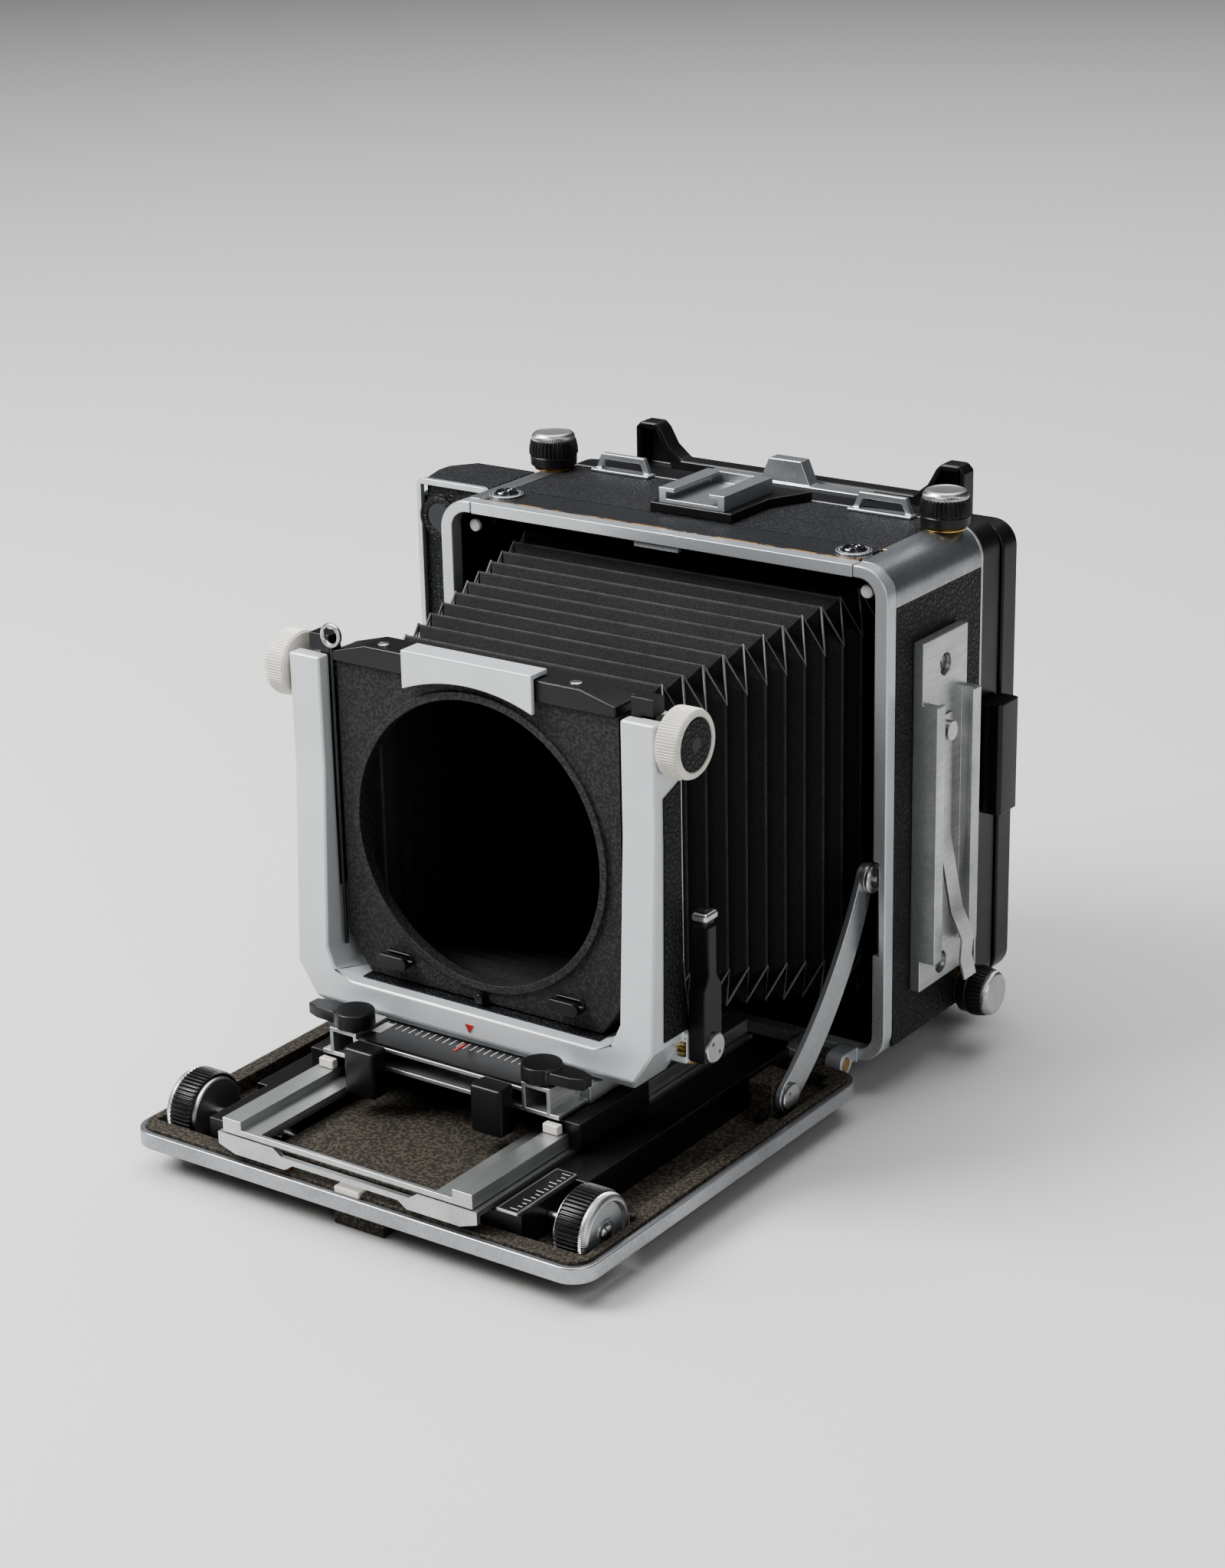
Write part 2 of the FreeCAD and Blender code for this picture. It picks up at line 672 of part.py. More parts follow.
def top_flap():
    """Flap in the housing's top, with the middle of the front rim and the bed catch."""
    top = BODY_H - SKIN
    plate = box(-FLAP_HALF, FLAP_HALF, RIM_D - 0.5, FLAP_D, BODY_H - FLAP_T - SKIN / 2, top)
    strip = box(-FLAP_HALF, FLAP_HALF, 0, RIM_D, BODY_H - RIM_TOP, BODY_H)
    catch = box(-CATCH_W / 2, CATCH_W / 2, 1.0, 3.0, BODY_H - RIM_TOP - CATCH_DROP, BODY_H - RIM_TOP + 1)
    whole = [plate, strip, catch]
    holes = []
    for side in SIDES:
        whole.append(rod(side * BUTTON_X, BUTTON_Y, top - 1, BUTTON_RING_R, BUTTON_RING_H + SKIN + 1, ALONG_Z))
        holes.append(rod(side * BUTTON_X, BUTTON_Y, top - 10, BUTTON_R + RUN, 20, ALONG_Z))
    return [minus(joined(whole), holes)]


def flap_covering():
    """Leather on the top flap, cut round the button rings."""
    half = HALF - CORNER_BAND - 1
    sheet = box(-half, half, RIM_D, FLAP_D, BODY_H - SKIN, BODY_H)
    return [minus(sheet, [rod(side * BUTTON_X, BUTTON_Y, BODY_H - 5, BUTTON_RING_R, 9, ALONG_Z)
                          for side in SIDES])]


def release_button(side):
    """Push button that frees the flap and the bed."""
    return [rod(side * BUTTON_X, BUTTON_Y, BODY_H - FLAP_T, BUTTON_R, FLAP_T + BUTTON_RISE, ALONG_Z)]


def lock_knob():
    """Back lock knob about +Z, standing on z = 0, with its stem below."""
    stem_end = -(ROD_INSET - ROD_R) + 0.5
    outline = [(0, stem_end), (KNOB_STEM_R, stem_end), (KNOB_STEM_R, CLEAR), (KNOB_NECK_R, CLEAR),
               (KNOB_NECK_R, KNOB_NECK_H), (KNOB_R, KNOB_NECK_H + 0.6),
               (KNOB_R - 0.8, KNOB_H - 1), (KNOB_TOP_R, KNOB_H), (0, KNOB_H)]
    face = Part.Face(Part.makePolygon([Vec(r, 0, z) for r, z in outline + [outline[0]]]))
    return face.revolve(Vec(0, 0, 0), ALONG_Z, 360)


def top_knob(side):
    """Knob on the housing's top that clamps an upper rod of the back."""
    knob = lock_knob()
    knob.translate(Vec(side * (HALF - ROD_INSET), KNOB_Y, BODY_H))
    return [knob]


def side_knob(side):
    """Knob on the housing's side that clamps a lower rod of the back."""
    knob = lock_knob()
    knob.rotate(Vec(0, 0, 0), ALONG_Y, 90)
    knob.translate(Vec(HALF, KNOB_Y, ROD_INSET))
    return [on_side(knob, side)]


# ---------------- bellows ----------------

def rectangle(y, half, low, high):
    """Closed rectangle in the XZ plane."""
    corners = [Vec(-half, y, low), Vec(half, y, low), Vec(half, y, high), Vec(-half, y, high)]
    return Part.makePolygon(corners + [corners[0]])


def bellows():
    """Hollow tapered tube from the lens panel to the frame in the housing."""
    y0, y1 = PANEL_REAR + CLEAR, BELLOWS_REAR_Y - CLEAR
    front_low = (PANEL_LOW + PANEL_HIGH) / 2 - BELLOWS_FRONT_HALF
    front_high = front_low + 2 * BELLOWS_FRONT_HALF
    rear_half = HALF - BELLOWS_REAR_GAP
    low, high = BELLOWS_REAR_GAP - 2, BODY_H - BELLOWS_REAR_GAP + 2
    wall = BELLOWS_WALL
    outer = Part.makeLoft([rectangle(y0, BELLOWS_FRONT_HALF, front_low, front_high),
                           rectangle(y1, rear_half, low, high)], True, True)
    inner = Part.makeLoft([rectangle(y0 - 1, BELLOWS_FRONT_HALF - wall, front_low + wall, front_high - wall),
                           rectangle(y1 + 1, rear_half - wall, low + wall, high - wall)], True, True)
    return [outer.cut(inner)]


def bellows_rear_frame():
    """Frame that holds the bellows' rear end between the housing's walls."""
    half = HALF - FRAME_GAP
    low, high = FRAME_GAP - 2, BODY_H - FRAME_GAP + 2
    y0, y1 = BELLOWS_REAR_Y, BELLOWS_REAR_Y + FRAME_T
    ring = rounded(-half, half, y0, y1, low, high, CORNER_R + 2, 1)
    window = box(FRAME_W - half, half - FRAME_W, y0 - 1, y1 + 1, low + FRAME_W, high - FRAME_W)
    lugs = [box(half - 1, HALF - WALL, y0, y1, MID_Z - 18, MID_Z + 18),
            box(1 - half, WALL - HALF, y0, y1, MID_Z - 18, MID_Z + 18),
            box(-20, 20, y0, y1, high - 1, BODY_H - WALL),
            box(-20, 20, y0, y1, WALL, low + 1)]
    return [joined([ring.cut(window)] + lugs)]


# ---------------- drop bed ----------------

def bed_hinge_pins():
    """Two pins that the bed turns on."""
    length = HINGE_LUG_W + 2 * (CLEAR + HINGE_EAR_W)
    return both(rod(HINGE_LUG_X - length / 2, HINGE_Y, HINGE_Z, HINGE_PIN_R, length, ALONG_X))


def focus_well(side):
    """Hole through the tray for a focusing knob, which reaches below it."""
    reach = FOCUS_R + 1
    return box(side * (FOCUS_IN_X - 1), side * (FOCUS_OUT_X + 1), SHAFT_Y - reach, SHAFT_Y + reach,
               BED_LOW - 1, TRAY_FLANGE_TOP + 1)


def bed_tray():
    """Tray with its flange, middle plate, hinge lugs, strut brackets and front foot."""
    half = HALF - BED_RIM_T
    y0, y1 = BED_FRONT + BED_RIM_T, BED_REAR - BED_RIM_T
    floor_top = BED_LOW + TRAY_FLOOR_T
    radius = BED_CORNER_R - BED_RIM_T
    outer = rounded(-half, half, y0, y1, BED_LOW, TRAY_FLANGE_TOP, radius, 2)
    well = box(TRAY_FLANGE_W - half, half - TRAY_FLANGE_W, y0 + TRAY_FLANGE_W, y1 - TRAY_FLANGE_W,
               floor_top, TRAY_FLANGE_TOP + 1)
    tray = outer.cut(well)
    plate_y0, plate_y1 = y0 + TRAY_FLANGE_W - 1, y1 - TRAY_FLANGE_W + 1
    adds = [box(-PLATE_HALF, PLATE_HALF, plate_y0, plate_y1, PLATE_TOP - PLATE_T, PLATE_TOP)]
    for side in SIDES:
        adds.append(box(side * (RIB_X - RIB_T / 2), side * (RIB_X + RIB_T / 2), plate_y0, plate_y1,
                        floor_top - 0.2, PLATE_TOP - PLATE_T + 0.2))
        x0, x1 = HINGE_LUG_X - HINGE_LUG_W / 2, HINGE_LUG_X + HINGE_LUG_W / 2
        adds.append(rod(side * x0, HINGE_Y, HINGE_Z, HINGE_LUG_R, HINGE_LUG_W, ALONG_X * side))
        adds.append(box(side * x0, side * x1, BED_REAR - BED_RIM_T - 1, HINGE_Y,
                        HINGE_Z - HINGE_LUG_R, HINGE_Z + HINGE_LUG_R - 2))
        bracket_x1 = HALF - STRUT_SIDE_IN - CLEAR
        adds.append(box(side * (bracket_x1 - BRACKET_T), side * bracket_x1,
                        STRUT_LOW_Y - BRACKET_W / 2, STRUT_LOW_Y + BRACKET_W / 2, floor_top - 0.2, BRACKET_TOP))
    foot_y = BED_FRONT + 6
    adds.append(box(-BED_FOOT_W / 2, BED_FOOT_W / 2, foot_y, foot_y + 6, -BASE_H, BED_LOW + 1))
    tray = joined([tray] + adds)
    cutters = []
    for side in SIDES:
        cutters.append(focus_well(side))
        cutters.append(box(side * (HALF - STRUT_SIDE_IN - CLEAR), side * (HALF - WALL),
                           STRUT_LOW_Y - NOTCH_FRONT, STRUT_LOW_Y + NOTCH_REAR, floor_top, TRAY_FLANGE_TOP + 1))
        cutters.append(rod(side * (HINGE_LUG_X - 9), HINGE_Y, HINGE_Z, HINGE_PIN_R + RUN, 18, ALONG_X * side))
        cutters.append(rod(side * (HALF - STRUT_SIDE_IN - 7), STRUT_LOW_Y, STRUT_LOW_Z,
                           STRUT_PIVOT_R + RUN, 8, ALONG_X * side))
        cutters.append(rod(side * (RIB_X - 4), SHAFT_Y, SHAFT_Z, SHAFT_R + RIB_GAP, 8, ALONG_X * side))
    return [minus(tray, cutters)]


def bed_rim():
    """Silver band around the bed."""
    y0, y1 = BED_FRONT, BED_REAR
    t = BED_RIM_T
    outer = rounded(-HALF, HALF, y0, y1, BED_LOW, BED_TOP, BED_CORNER_R, 2)
    inner = rounded(t - HALF, HALF - t, y0 + t, y1 - t, BED_LOW - 1, BED_TOP + 1, BED_CORNER_R - t, 2)
    lugs = []
    for side in SIDES:
        x0 = side * (HINGE_LUG_X - HINGE_LUG_W / 2 - CLEAR)
        x1 = side * (HINGE_LUG_X + HINGE_LUG_W / 2 + CLEAR)
        lugs.append(box(x0, x1, y1 - t - 1, y1 + 1, BED_LOW - 1, BED_TOP + 1))
    return [minus(outer, [inner] + lugs)]


def track_guides():
    """Black bars beside the tracks; a ledge on each carries the main track."""
    floor_top = BED_LOW + TRAY_FLOOR_T
    edge = BED_RIM_T + TRAY_FLANGE_W + CLEAR
    y0, y1 = BED_FRONT + edge, BED_REAR - edge
    x0 = TRACK_OUT + CLEAR
    front_bar = box(x0, GUIDE_OUT_FRONT, y0, SHAFT_Y + GUIDE_STEP, floor_top, GUIDE_TOP)
    rear_bar = box(x0, GUIDE_OUT, SHAFT_Y + GUIDE_STEP, y1, floor_top, GUIDE_TOP)
    ledge = box(x0 - GUIDE_LIP, x0 + 1, y0, y1, floor_top, TRACK_Z - CLEAR)
    shaft = rod(RACK_X, SHAFT_Y, SHAFT_Z, SHAFT_R + RUN, 2 * GUIDE_OUT, ALONG_X)
    return both(joined([front_bar, rear_bar, ledge]).cut(shaft))


def focus_scale():
    """Framed plate with a focusing scale, on the left guide bar."""
    x0 = GUIDE_OUT_FRONT - SCALE_W - 0.5
    y0 = SHAFT_Y - SCALE_L / 2
    plate = box(x0, x0 + SCALE_W, y0, y0 + SCALE_L, GUIDE_TOP, GUIDE_TOP + SCALE_T)
    field = box(x0 + 1, x0 + SCALE_W - 1, y0 + 1, y0 + SCALE_L - 1, GUIDE_TOP + SCALE_T / 2, GUIDE_TOP + 2)
    return [plate.cut(field)]


def strut(side):
    """Bowed steel strut with its pivot stud, its head and the pin that runs in the rim."""
    x0 = HALF - STRUT_SIDE_IN
    low = Vec(x0, STRUT_LOW_Y, STRUT_LOW_Z)
    high = Vec(x0, STRUT_TOP_Y, STRUT_TOP_Z)
    chord = high - low
    across = Vec(0, chord.z, -chord.y).normalize()
    middle = (low + high) * 0.5 + across * STRUT_BOW
    half = STRUT_W / 2
    narrow = STRUT_HEAD_R - 0.4
    outer = Part.Arc(low + across * half, middle + across * half, high + across * narrow).toShape()
    inner = Part.Arc(high - across * narrow, middle - across * half, low - across * half).toShape()
    ends = [Part.makeLine(outer.Vertexes[-1].Point, inner.Vertexes[0].Point),
            Part.makeLine(inner.Vertexes[-1].Point, outer.Vertexes[0].Point)]
    blade = Part.Face(Part.Wire([outer, ends[0], inner, ends[1]])).extrude(ALONG_X * STRUT_T)
    parts = [blade,
             rod(x0, low.y, low.z, half, STRUT_T, ALONG_X),
             rod(x0, high.y, high.z, narrow, STRUT_T, ALONG_X),
             rod(x0 + STRUT_T, high.y, high.z, STRUT_HEAD_R, STRUT_HEAD_T, ALONG_X),
             rod(x0 + STRUT_T, high.y, high.z, STRUT_PIN_R, STRUT_HEAD_T + 2.0, ALONG_X),
             rod(x0 - 6.5, low.y, low.z, STRUT_PIVOT_R, 7.0, ALONG_X)]
    return [on_side(joined(parts), side)]


# ---------------- tracks and drive ----------------

def main_track():
    """Lower track: two bars with racks below, joined by a stamped front plate."""
    y0 = BED_FRONT + 0.7
    top = TRACK_Z + TRACK_T
    parts = []
    root = RACK_TIP + TOOTH_H
    pitch = 2 * math.pi * PINION_PITCH_R / PINION_TEETH
    for side in SIDES:
        parts.append(box(side * TRACK_IN, side * TRACK_OUT, y0, TRACK_REAR, TRACK_Z, top))
        parts.append(box(side * (RACK_X - RACK_W / 2), side * (RACK_X + RACK_W / 2),
                         SHAFT_Y - 3.5 * pitch, TRACK_REAR, root, TRACK_Z + 0.2))
        count = int((TRACK_REAR - SHAFT_Y) / pitch)
        for i in range(-3, count):
            middle = SHAFT_Y + (i + 0.5) * pitch
            tooth = [(middle - 0.42, root + 0.1), (middle + 0.42, root + 0.1),
                     (middle + 0.2, RACK_TIP), (middle - 0.2, RACK_TIP)]
            x0 = side * RACK_X - RACK_W / 2
            parts.append(prism(tooth, "YZ", x0, x0 + RACK_W))
    plate = [(-TRACK_OUT, top), (-TRACK_OUT, FRONT_PLATE_LOW + 2), (-TRACK_OUT + 6, FRONT_PLATE_LOW),
             (-22, FRONT_PLATE_LOW), (-19, FRONT_PLATE_LOW + 2), (19, FRONT_PLATE_LOW + 2),
             (22, FRONT_PLATE_LOW), (TRACK_OUT - 6, FRONT_PLATE_LOW), (TRACK_OUT, FRONT_PLATE_LOW + 2),
             (TRACK_OUT, top), (26, top), (23, top - 2), (-23, top - 2), (-26, top)]
    parts.append(prism(plate, "XZ", y0, y0 + FRONT_PLATE_T))
    return [joined(parts)]


def focus_shaft():
    """Shaft across the bed with a pinion under each rack."""
    parts = [rod(-FOCUS_OUT_X, SHAFT_Y, SHAFT_Z, SHAFT_R, 2 * FOCUS_OUT_X, ALONG_X)]
    tip = PINION_PITCH_R + PINION_TIP
    root = PINION_PITCH_R - PINION_ROOT
    for side in SIDES:
        outline = []
        for i in range(PINION_TEETH):
            middle = 2 * math.pi * i / PINION_TEETH + math.pi / 2
            for turn, radius in ((-0.20, root), (-0.07, tip), (0.07, tip), (0.20, root)):
                angle = middle + turn
                outline.append((SHAFT_Y + radius * math.cos(angle), SHAFT_Z + radius * math.sin(angle)))
        x0 = side * RACK_X - RACK_W / 2
        parts.append(prism(outline, "YZ", x0, x0 + RACK_W))
    return [joined(parts)]


def focus_knobs():
    """Two ribbed focusing knobs at the bed's front corners."""
    body = rod(FOCUS_IN_X, SHAFT_Y, SHAFT_Z, FOCUS_R, FOCUS_OUT_X - FOCUS_IN_X, ALONG_X)
    dish = rod(FOCUS_OUT_X - 1.5, SHAFT_Y, SHAFT_Z, FOCUS_R - 2, 2, ALONG_X)
    bore = rod(FOCUS_IN_X - 1, SHAFT_Y, SHAFT_Z, SHAFT_R + SEAT, 20, ALONG_X)
    return both(minus(body, [dish, bore]))


def upper_track():
    """Upper track: two stepped rails joined by a stamped front plate."""
    y0 = BED_FRONT + 1.0
    low = TRACK_Z + TRACK_T + CLEAR
    parts = []
    for side in SIDES:
        parts.append(box(side * UPPER_STEP, side * UPPER_OUT, y0, TRACK_REAR, low, RAIL_TOP))
        parts.append(box(side * UPPER_IN, side * (UPPER_STEP + 0.5), y0, TRACK_REAR, low, low + UPPER_STEP_T))
    top = low + UPPER_STEP_T
    plate = [(-UPPER_OUT, RAIL_TOP), (-UPPER_OUT, low), (UPPER_OUT, low), (UPPER_OUT, RAIL_TOP),
             (UPPER_STEP, RAIL_TOP), (UPPER_STEP, top), (-UPPER_STEP, top), (-UPPER_STEP, RAIL_TOP)]
    parts.append(prism(plate, "XZ", y0, y0 + FRONT_PLATE_T))
    return [joined(parts)]


# ---------------- front standard ----------------

def carriage():
    """Carriage that clamps on the upper track."""
    y0, y1 = CARRIAGE_FRONT, CARRIAGE_REAR
    low = RAIL_TOP + CLEAR
    deck = box(-CARRIAGE_HALF, CARRIAGE_HALF, y0, y1, low, CARRIAGE_TOP)
    skirt = box(UPPER_OUT + CLEAR, CARRIAGE_HALF, y0, y1, CARRIAGE_SKIRT, low + 0.5)
    key = box(UPPER_IN + 0.5, UPPER_STEP - CLEAR, y0, y1,
              TRACK_Z + TRACK_T + UPPER_STEP_T + 2 * CLEAR, low + 0.5)
    pivot = rod(0, SWING_Y, CARRIAGE_TOP - 1, SWING_PIVOT_R, SWING_PIVOT_H + 1, ALONG_Z)
    notch = box(-UPPER_STEP, UPPER_STEP, y0 - 1, y0 + CARRIAGE_NOTCH, CARRIAGE_SKIRT, CARRIAGE_TOP + 1)
    return [joined([deck, pivot] + both(skirt) + both(key)).cut(notch)]


def shift_rail():
    """Swing plate with the hollow-ended profile and its two webs in front."""
    low = CARRIAGE_TOP + CLEAR
    plate = box(-SWING_HALF, SWING_HALF, RAIL_REAR - 1, CARRIAGE_REAR, low, SWING_TOP)
    y0, y1 = RAIL_FRONT, RAIL_REAR
    parts = [plate, box(-PROFILE_HALF, PROFILE_HALF, y0, y1, low, low + PROFILE_WALL),
             box(-PROFILE_HALF + 2, PROFILE_HALF - 2, y0, y1, PROFILE_TOP - 3.0, PROFILE_TOP - 1.8),
             box(-PROFILE_HALF, PROFILE_HALF, y1 - 2, y1, low, PROFILE_TOP - 2)]
    for side in SIDES:
        x0, x1 = side * (PROFILE_HALF - PROFILE_BOX), side * PROFILE_HALF
        shell = box(x0, x1, y0, y1, low, PROFILE_TOP)
        w = PROFILE_WALL
        parts.append(shell)
        parts.append(box(x1 - side, x1 + side * PROFILE_FOOT, y0, y1, low, low + w))
    whole = joined(parts)
    cutters = [rod(0, SWING_Y, CARRIAGE_TOP, SWING_PIVOT_R + RUN, SWING_PIVOT_H + CLEAR, ALONG_Z)]
    for side in SIDES:
        w = PROFILE_WALL
        cutters.append(box(side * (PROFILE_HALF - PROFILE_BOX + w), side * (PROFILE_HALF - w),
                           y0 - 1, y1 - 2, low + w, PROFILE_TOP - w))
        cutters.append(rod(side * LEVER_X, LEVER_Y, PROFILE_TOP - 3, LEVER_STEM_R + RUN, 6, ALONG_Z))
    return [minus(whole, cutters)]


def ruler_strip():
    """Black strip on the profile's upper web, marked for the lateral shift."""
    z0 = PROFILE_TOP - 1.8
    return [box(-RULER_HALF, RULER_HALF, RAIL_FRONT + 0.4, RAIL_REAR - 0.6, z0, z0 + RULER_T)]


def pinch_tab(side):
    """Tab that is squeezed towards the other one to free the carriage."""
    y1 = RAIL_FRONT - TAB_GAP
    block = rounded(TAB_X - TAB_W / 2, TAB_X + TAB_W / 2, y1 - TAB_D, y1, TAB_LOW, TAB_HIGH, 1.2, 2)
    low = CARRIAGE_TOP + CLEAR + PROFILE_WALL + CLEAR
    stem = box(TAB_X - 3, TAB_X + 3, y1 - 1, RAIL_REAR - 3, low, PROFILE_TOP - 3.0 - CLEAR)
    return [on_side(joined([block, stem]), side)]


def base_lever(side):
    """Lock knob with a tapered lever, at a front corner of the profile."""
    z0 = LEVER_Z
    disc = rod(LEVER_X, LEVER_Y, z0, LEVER_R, LEVER_H, ALONG_Z)
    x1 = LEVER_X + LEVER_REACH
    outline = [(LEVER_X, LEVER_Y - 4.0), (x1 - 4, LEVER_Y - 3.4), (x1, LEVER_Y - 2.0),
               (x1, LEVER_Y + 2.0), (x1 - 4, LEVER_Y + 3.4), (LEVER_X, LEVER_Y + 4.0)]
    arm = prism(outline, "XY", z0 + 0.6, z0 + LEVER_H - 0.8)
    stem = rod(LEVER_X, LEVER_Y, PROFILE_TOP - PROFILE_WALL, LEVER_STEM_R, 3, ALONG_Z)
    return [on_side(joined([disc, arm, stem]), side)]


def standard_frame():
    """U-frame with a slot in each arm for the riser, and the bracket of the rise lever."""
    outer = [(-U_OUT, U_TOP), (-U_OUT, U_LOW + U_CHAMFER_Z), (-U_OUT + U_CHAMFER_X, U_LOW),
             (U_OUT - U_CHAMFER_X, U_LOW), (U_OUT, U_LOW + U_CHAMFER_Z), (U_OUT, U_TOP)]
    front = prism(outer, "XZ", U_FRONT_LOW - 1, U_REAR_LOW + 1)
    depth = [(U_FRONT, U_TOP), (U_FRONT, 100), (U_FRONT_LOW, U_LOW + U_CHAMFER_Z), (U_FRONT_LOW, U_LOW + 4),
             (U_FRONT_LOW + 4, U_LOW), (U_REAR_LOW, U_LOW), (U_REAR_LOW, U_SILL), (U_REAR, 60), (U_REAR, U_TOP)]
    side_view = prism(depth, "YZ", -U_OUT - 1, U_OUT + 1)
    frame = front.common(side_view)
    r = U_INNER_R
    gap = [(-U_IN, U_TOP + 5), (-U_IN, U_SILL + r), (-U_IN + r * 0.3, U_SILL + r * 0.3), (-U_IN + r, U_SILL),
           (U_IN - r, U_SILL), (U_IN - r * 0.3, U_SILL + r * 0.3), (U_IN, U_SILL + r), (U_IN, U_TOP + 5)]
    frame = frame.cut(prism(gap, "XZ", U_FRONT_LOW - 2, U_REAR_LOW + 2))
    bracket = box(U_OUT - 9, RISE_IN_X - CLEAR, U_REAR - 2, LEVER_PIVOT_Y + 4.5,
                  LEVER_PIVOT_Z - 5, LEVER_PIVOT_Z + 5)
    pin = rod(RISE_IN_X - 2, LEVER_PIVOT_Y, LEVER_PIVOT_Z, 2.0, RISE_W + 1.5, ALONG_X)
    frame = joined([frame, bracket, pin])
    cutters = []
    half = RISER_W / 2 + CLEAR
    slot = AXLE_R + SLOT_CLEAR
    for side in SIDES:
        cutters.append(box(side * (U_IN - 1), side * (U_IN + RISER_T + 2 * CLEAR), RISER_Y - half,
                           RISER_Y + half, RISER_LOW - CLEAR, U_TOP + 1))
        cutters.append(box(side * U_IN, side * (U_OUT + 1), RISER_Y - slot, RISER_Y + slot,
                           TILT_Z - slot, U_TOP + 1))
    return [minus(frame, cutters)]


def frame_inlays():
    """Leather strips on the arms' outer sides and on the sill."""
    outline = [(U_FRONT + 3.5, 112), (U_REAR - 1.8, 115), (U_REAR - 1.8, 62), (U_REAR_LOW - 2.2, U_LOW + U_CHAMFER_Z + 2),
               (U_FRONT_LOW + 5.5, U_LOW + U_CHAMFER_Z + 2), (U_FRONT_LOW + 6, 60), (U_FRONT + 3.5, 98)]
    arm = prism(outline, "YZ", U_OUT, U_OUT + INLAY_T)
    sill = box(-U_IN + U_INNER_R + 1, U_IN - U_INNER_R - 1, U_FRONT + 1, U_REAR, U_SILL, U_SILL + INLAY_T)
    return both(arm) + [sill]


def riser_bars():
    """Two bars that rise in the arms, each with a clip on top and the tilt axle's stub."""
    x0 = U_IN + CLEAR
    x1 = x0 + RISER_T
    half = RISER_W / 2
    bar = box(x0, x1, RISER_Y - half, RISER_Y + half, RISER_LOW, U_TOP + CLEAR + 0.5)
    clip = box(x0, x1 + 4, RISER_Y - half, RISER_Y + half, U_TOP + CLEAR, U_TOP + CLEAR + RISER_CLIP_H)
    axle_x0 = PANEL_HALF - PANEL_T
    axle = rod(axle_x0, RISER_Y, TILT_Z, AXLE_R, U_OUT + INLAY_T + TILT_KNOB_W - axle_x0, ALONG_X)
    return both(joined([bar, clip, axle]))


def tilt_knob(side):
    """Knurled knob that clamps the tilt of the lens panel."""
    x0 = U_OUT + INLAY_T + CLEAR
    knob = rod(x0, RISER_Y, TILT_Z, TILT_KNOB_R, TILT_KNOB_W, ALONG_X)
    bore = rod(x0 - 1, RISER_Y, TILT_Z, AXLE_R + RUN, TILT_KNOB_W + 2, ALONG_X)
    return [on_side(knob.cut(bore), side)]


def panel_outline(inset):
    """Panel's outline with its two cut lower corners, or the same a wall's thickness further in."""
    h = PANEL_HALF - inset
    low, high = PANEL_LOW + inset, PANEL_HIGH - inset
    corner_x, corner_z = h - PANEL_CUT_X + inset / 2, low + PANEL_CUT_Z - inset / 2
    return [(-corner_x, low), (corner_x, low), (h, corner_z), (h, high), (-h, high), (-h, corner_z)]


def lens_panel():
    """Panel with the round lens opening and the box that the bellows is fixed to."""
    h, t = PANEL_HALF, PANEL_T
    outer = prism(panel_outline(0), "XZ", PANEL_FRONT, PANEL_REAR)
    hollow = prism(panel_outline(t), "XZ", PANEL_FRONT + t, PANEL_REAR + 1)
    ring_r = OPENING_R + OPENING_RING_W
    ring = rod(0, PANEL_FRONT - OPENING_RING_H, OPENING_Z, ring_r, OPENING_RING_H + 1, ALONG_Y)
    panel = joined([outer.cut(hollow), ring])
    opening = rod(0, PANEL_FRONT - 5, OPENING_Z, OPENING_R, t + 6, ALONG_Y)
    axle = rod(-h - 1, RISER_Y, TILT_Z, AXLE_R + RUN, 2 * h + 2, ALONG_X)
    return [minus(panel, [opening, axle])]


def panel_bridge():
    """Arched cover along the panel's top."""
    h = PANEL_HALF
    low = PANEL_HIGH
    outline = [(-h, low), (-h, low + BRIDGE_END_H), (-h + 12, low + BRIDGE_MID_H), (h - 12, low + BRIDGE_MID_H),
               (h, low + BRIDGE_END_H), (h, low)]
    return [prism(outline, "XZ", PANEL_FRONT - BRIDGE_PROUD, PANEL_REAR - 1)]


def board_hooks():
    """Two hooks under the opening that hold a lens board's lower edge, and the pin between them."""
    hook = rounded(HOOK_X - HOOK_W / 2, HOOK_X + HOOK_W / 2, PANEL_FRONT - HOOK_D, PANEL_FRONT,
                   HOOK_Z - HOOK_H / 2, HOOK_Z + HOOK_H / 2, HOOK_H / 2 - 0.05, 1)
    room = box(HOOK_X - HOOK_W / 2 - 1, HOOK_X + HOOK_W / 2 + 1, PANEL_FRONT - 2.6, PANEL_FRONT - 0.8,
               HOOK_Z, HOOK_Z + HOOK_H)
    pin = rod(0, PANEL_FRONT - PIN_L, PANEL_LOW + PIN_R + 0.4, PIN_R, PIN_L, ALONG_Y)
    return both(hook.cut(room)) + [pin]


def board_lock():
    """Sliding bar that holds a lens board's upper edge."""
    top = PANEL_HIGH + BRIDGE_MID_H + CLEAR
    y0 = PANEL_FRONT - BRIDGE_PROUD - CLEAR - LOCK_T
    h = LOCK_HALF
    crown = box(-h, h, y0, PANEL_FRONT + 4.5, top, top + LOCK_T)
    lip = box(-h, h, y0, y0 + LOCK_T, LOCK_LOW, top + LOCK_T)
    sag = LOCK_ARCH
    radius = (h * h + sag * sag) / (2 * sag)
    arch = rod(0, y0 - 1, LOCK_LOW + sag - radius, radius, LOCK_T + 2, ALONG_Y)
    return [joined([crown, lip.cut(arch)])]


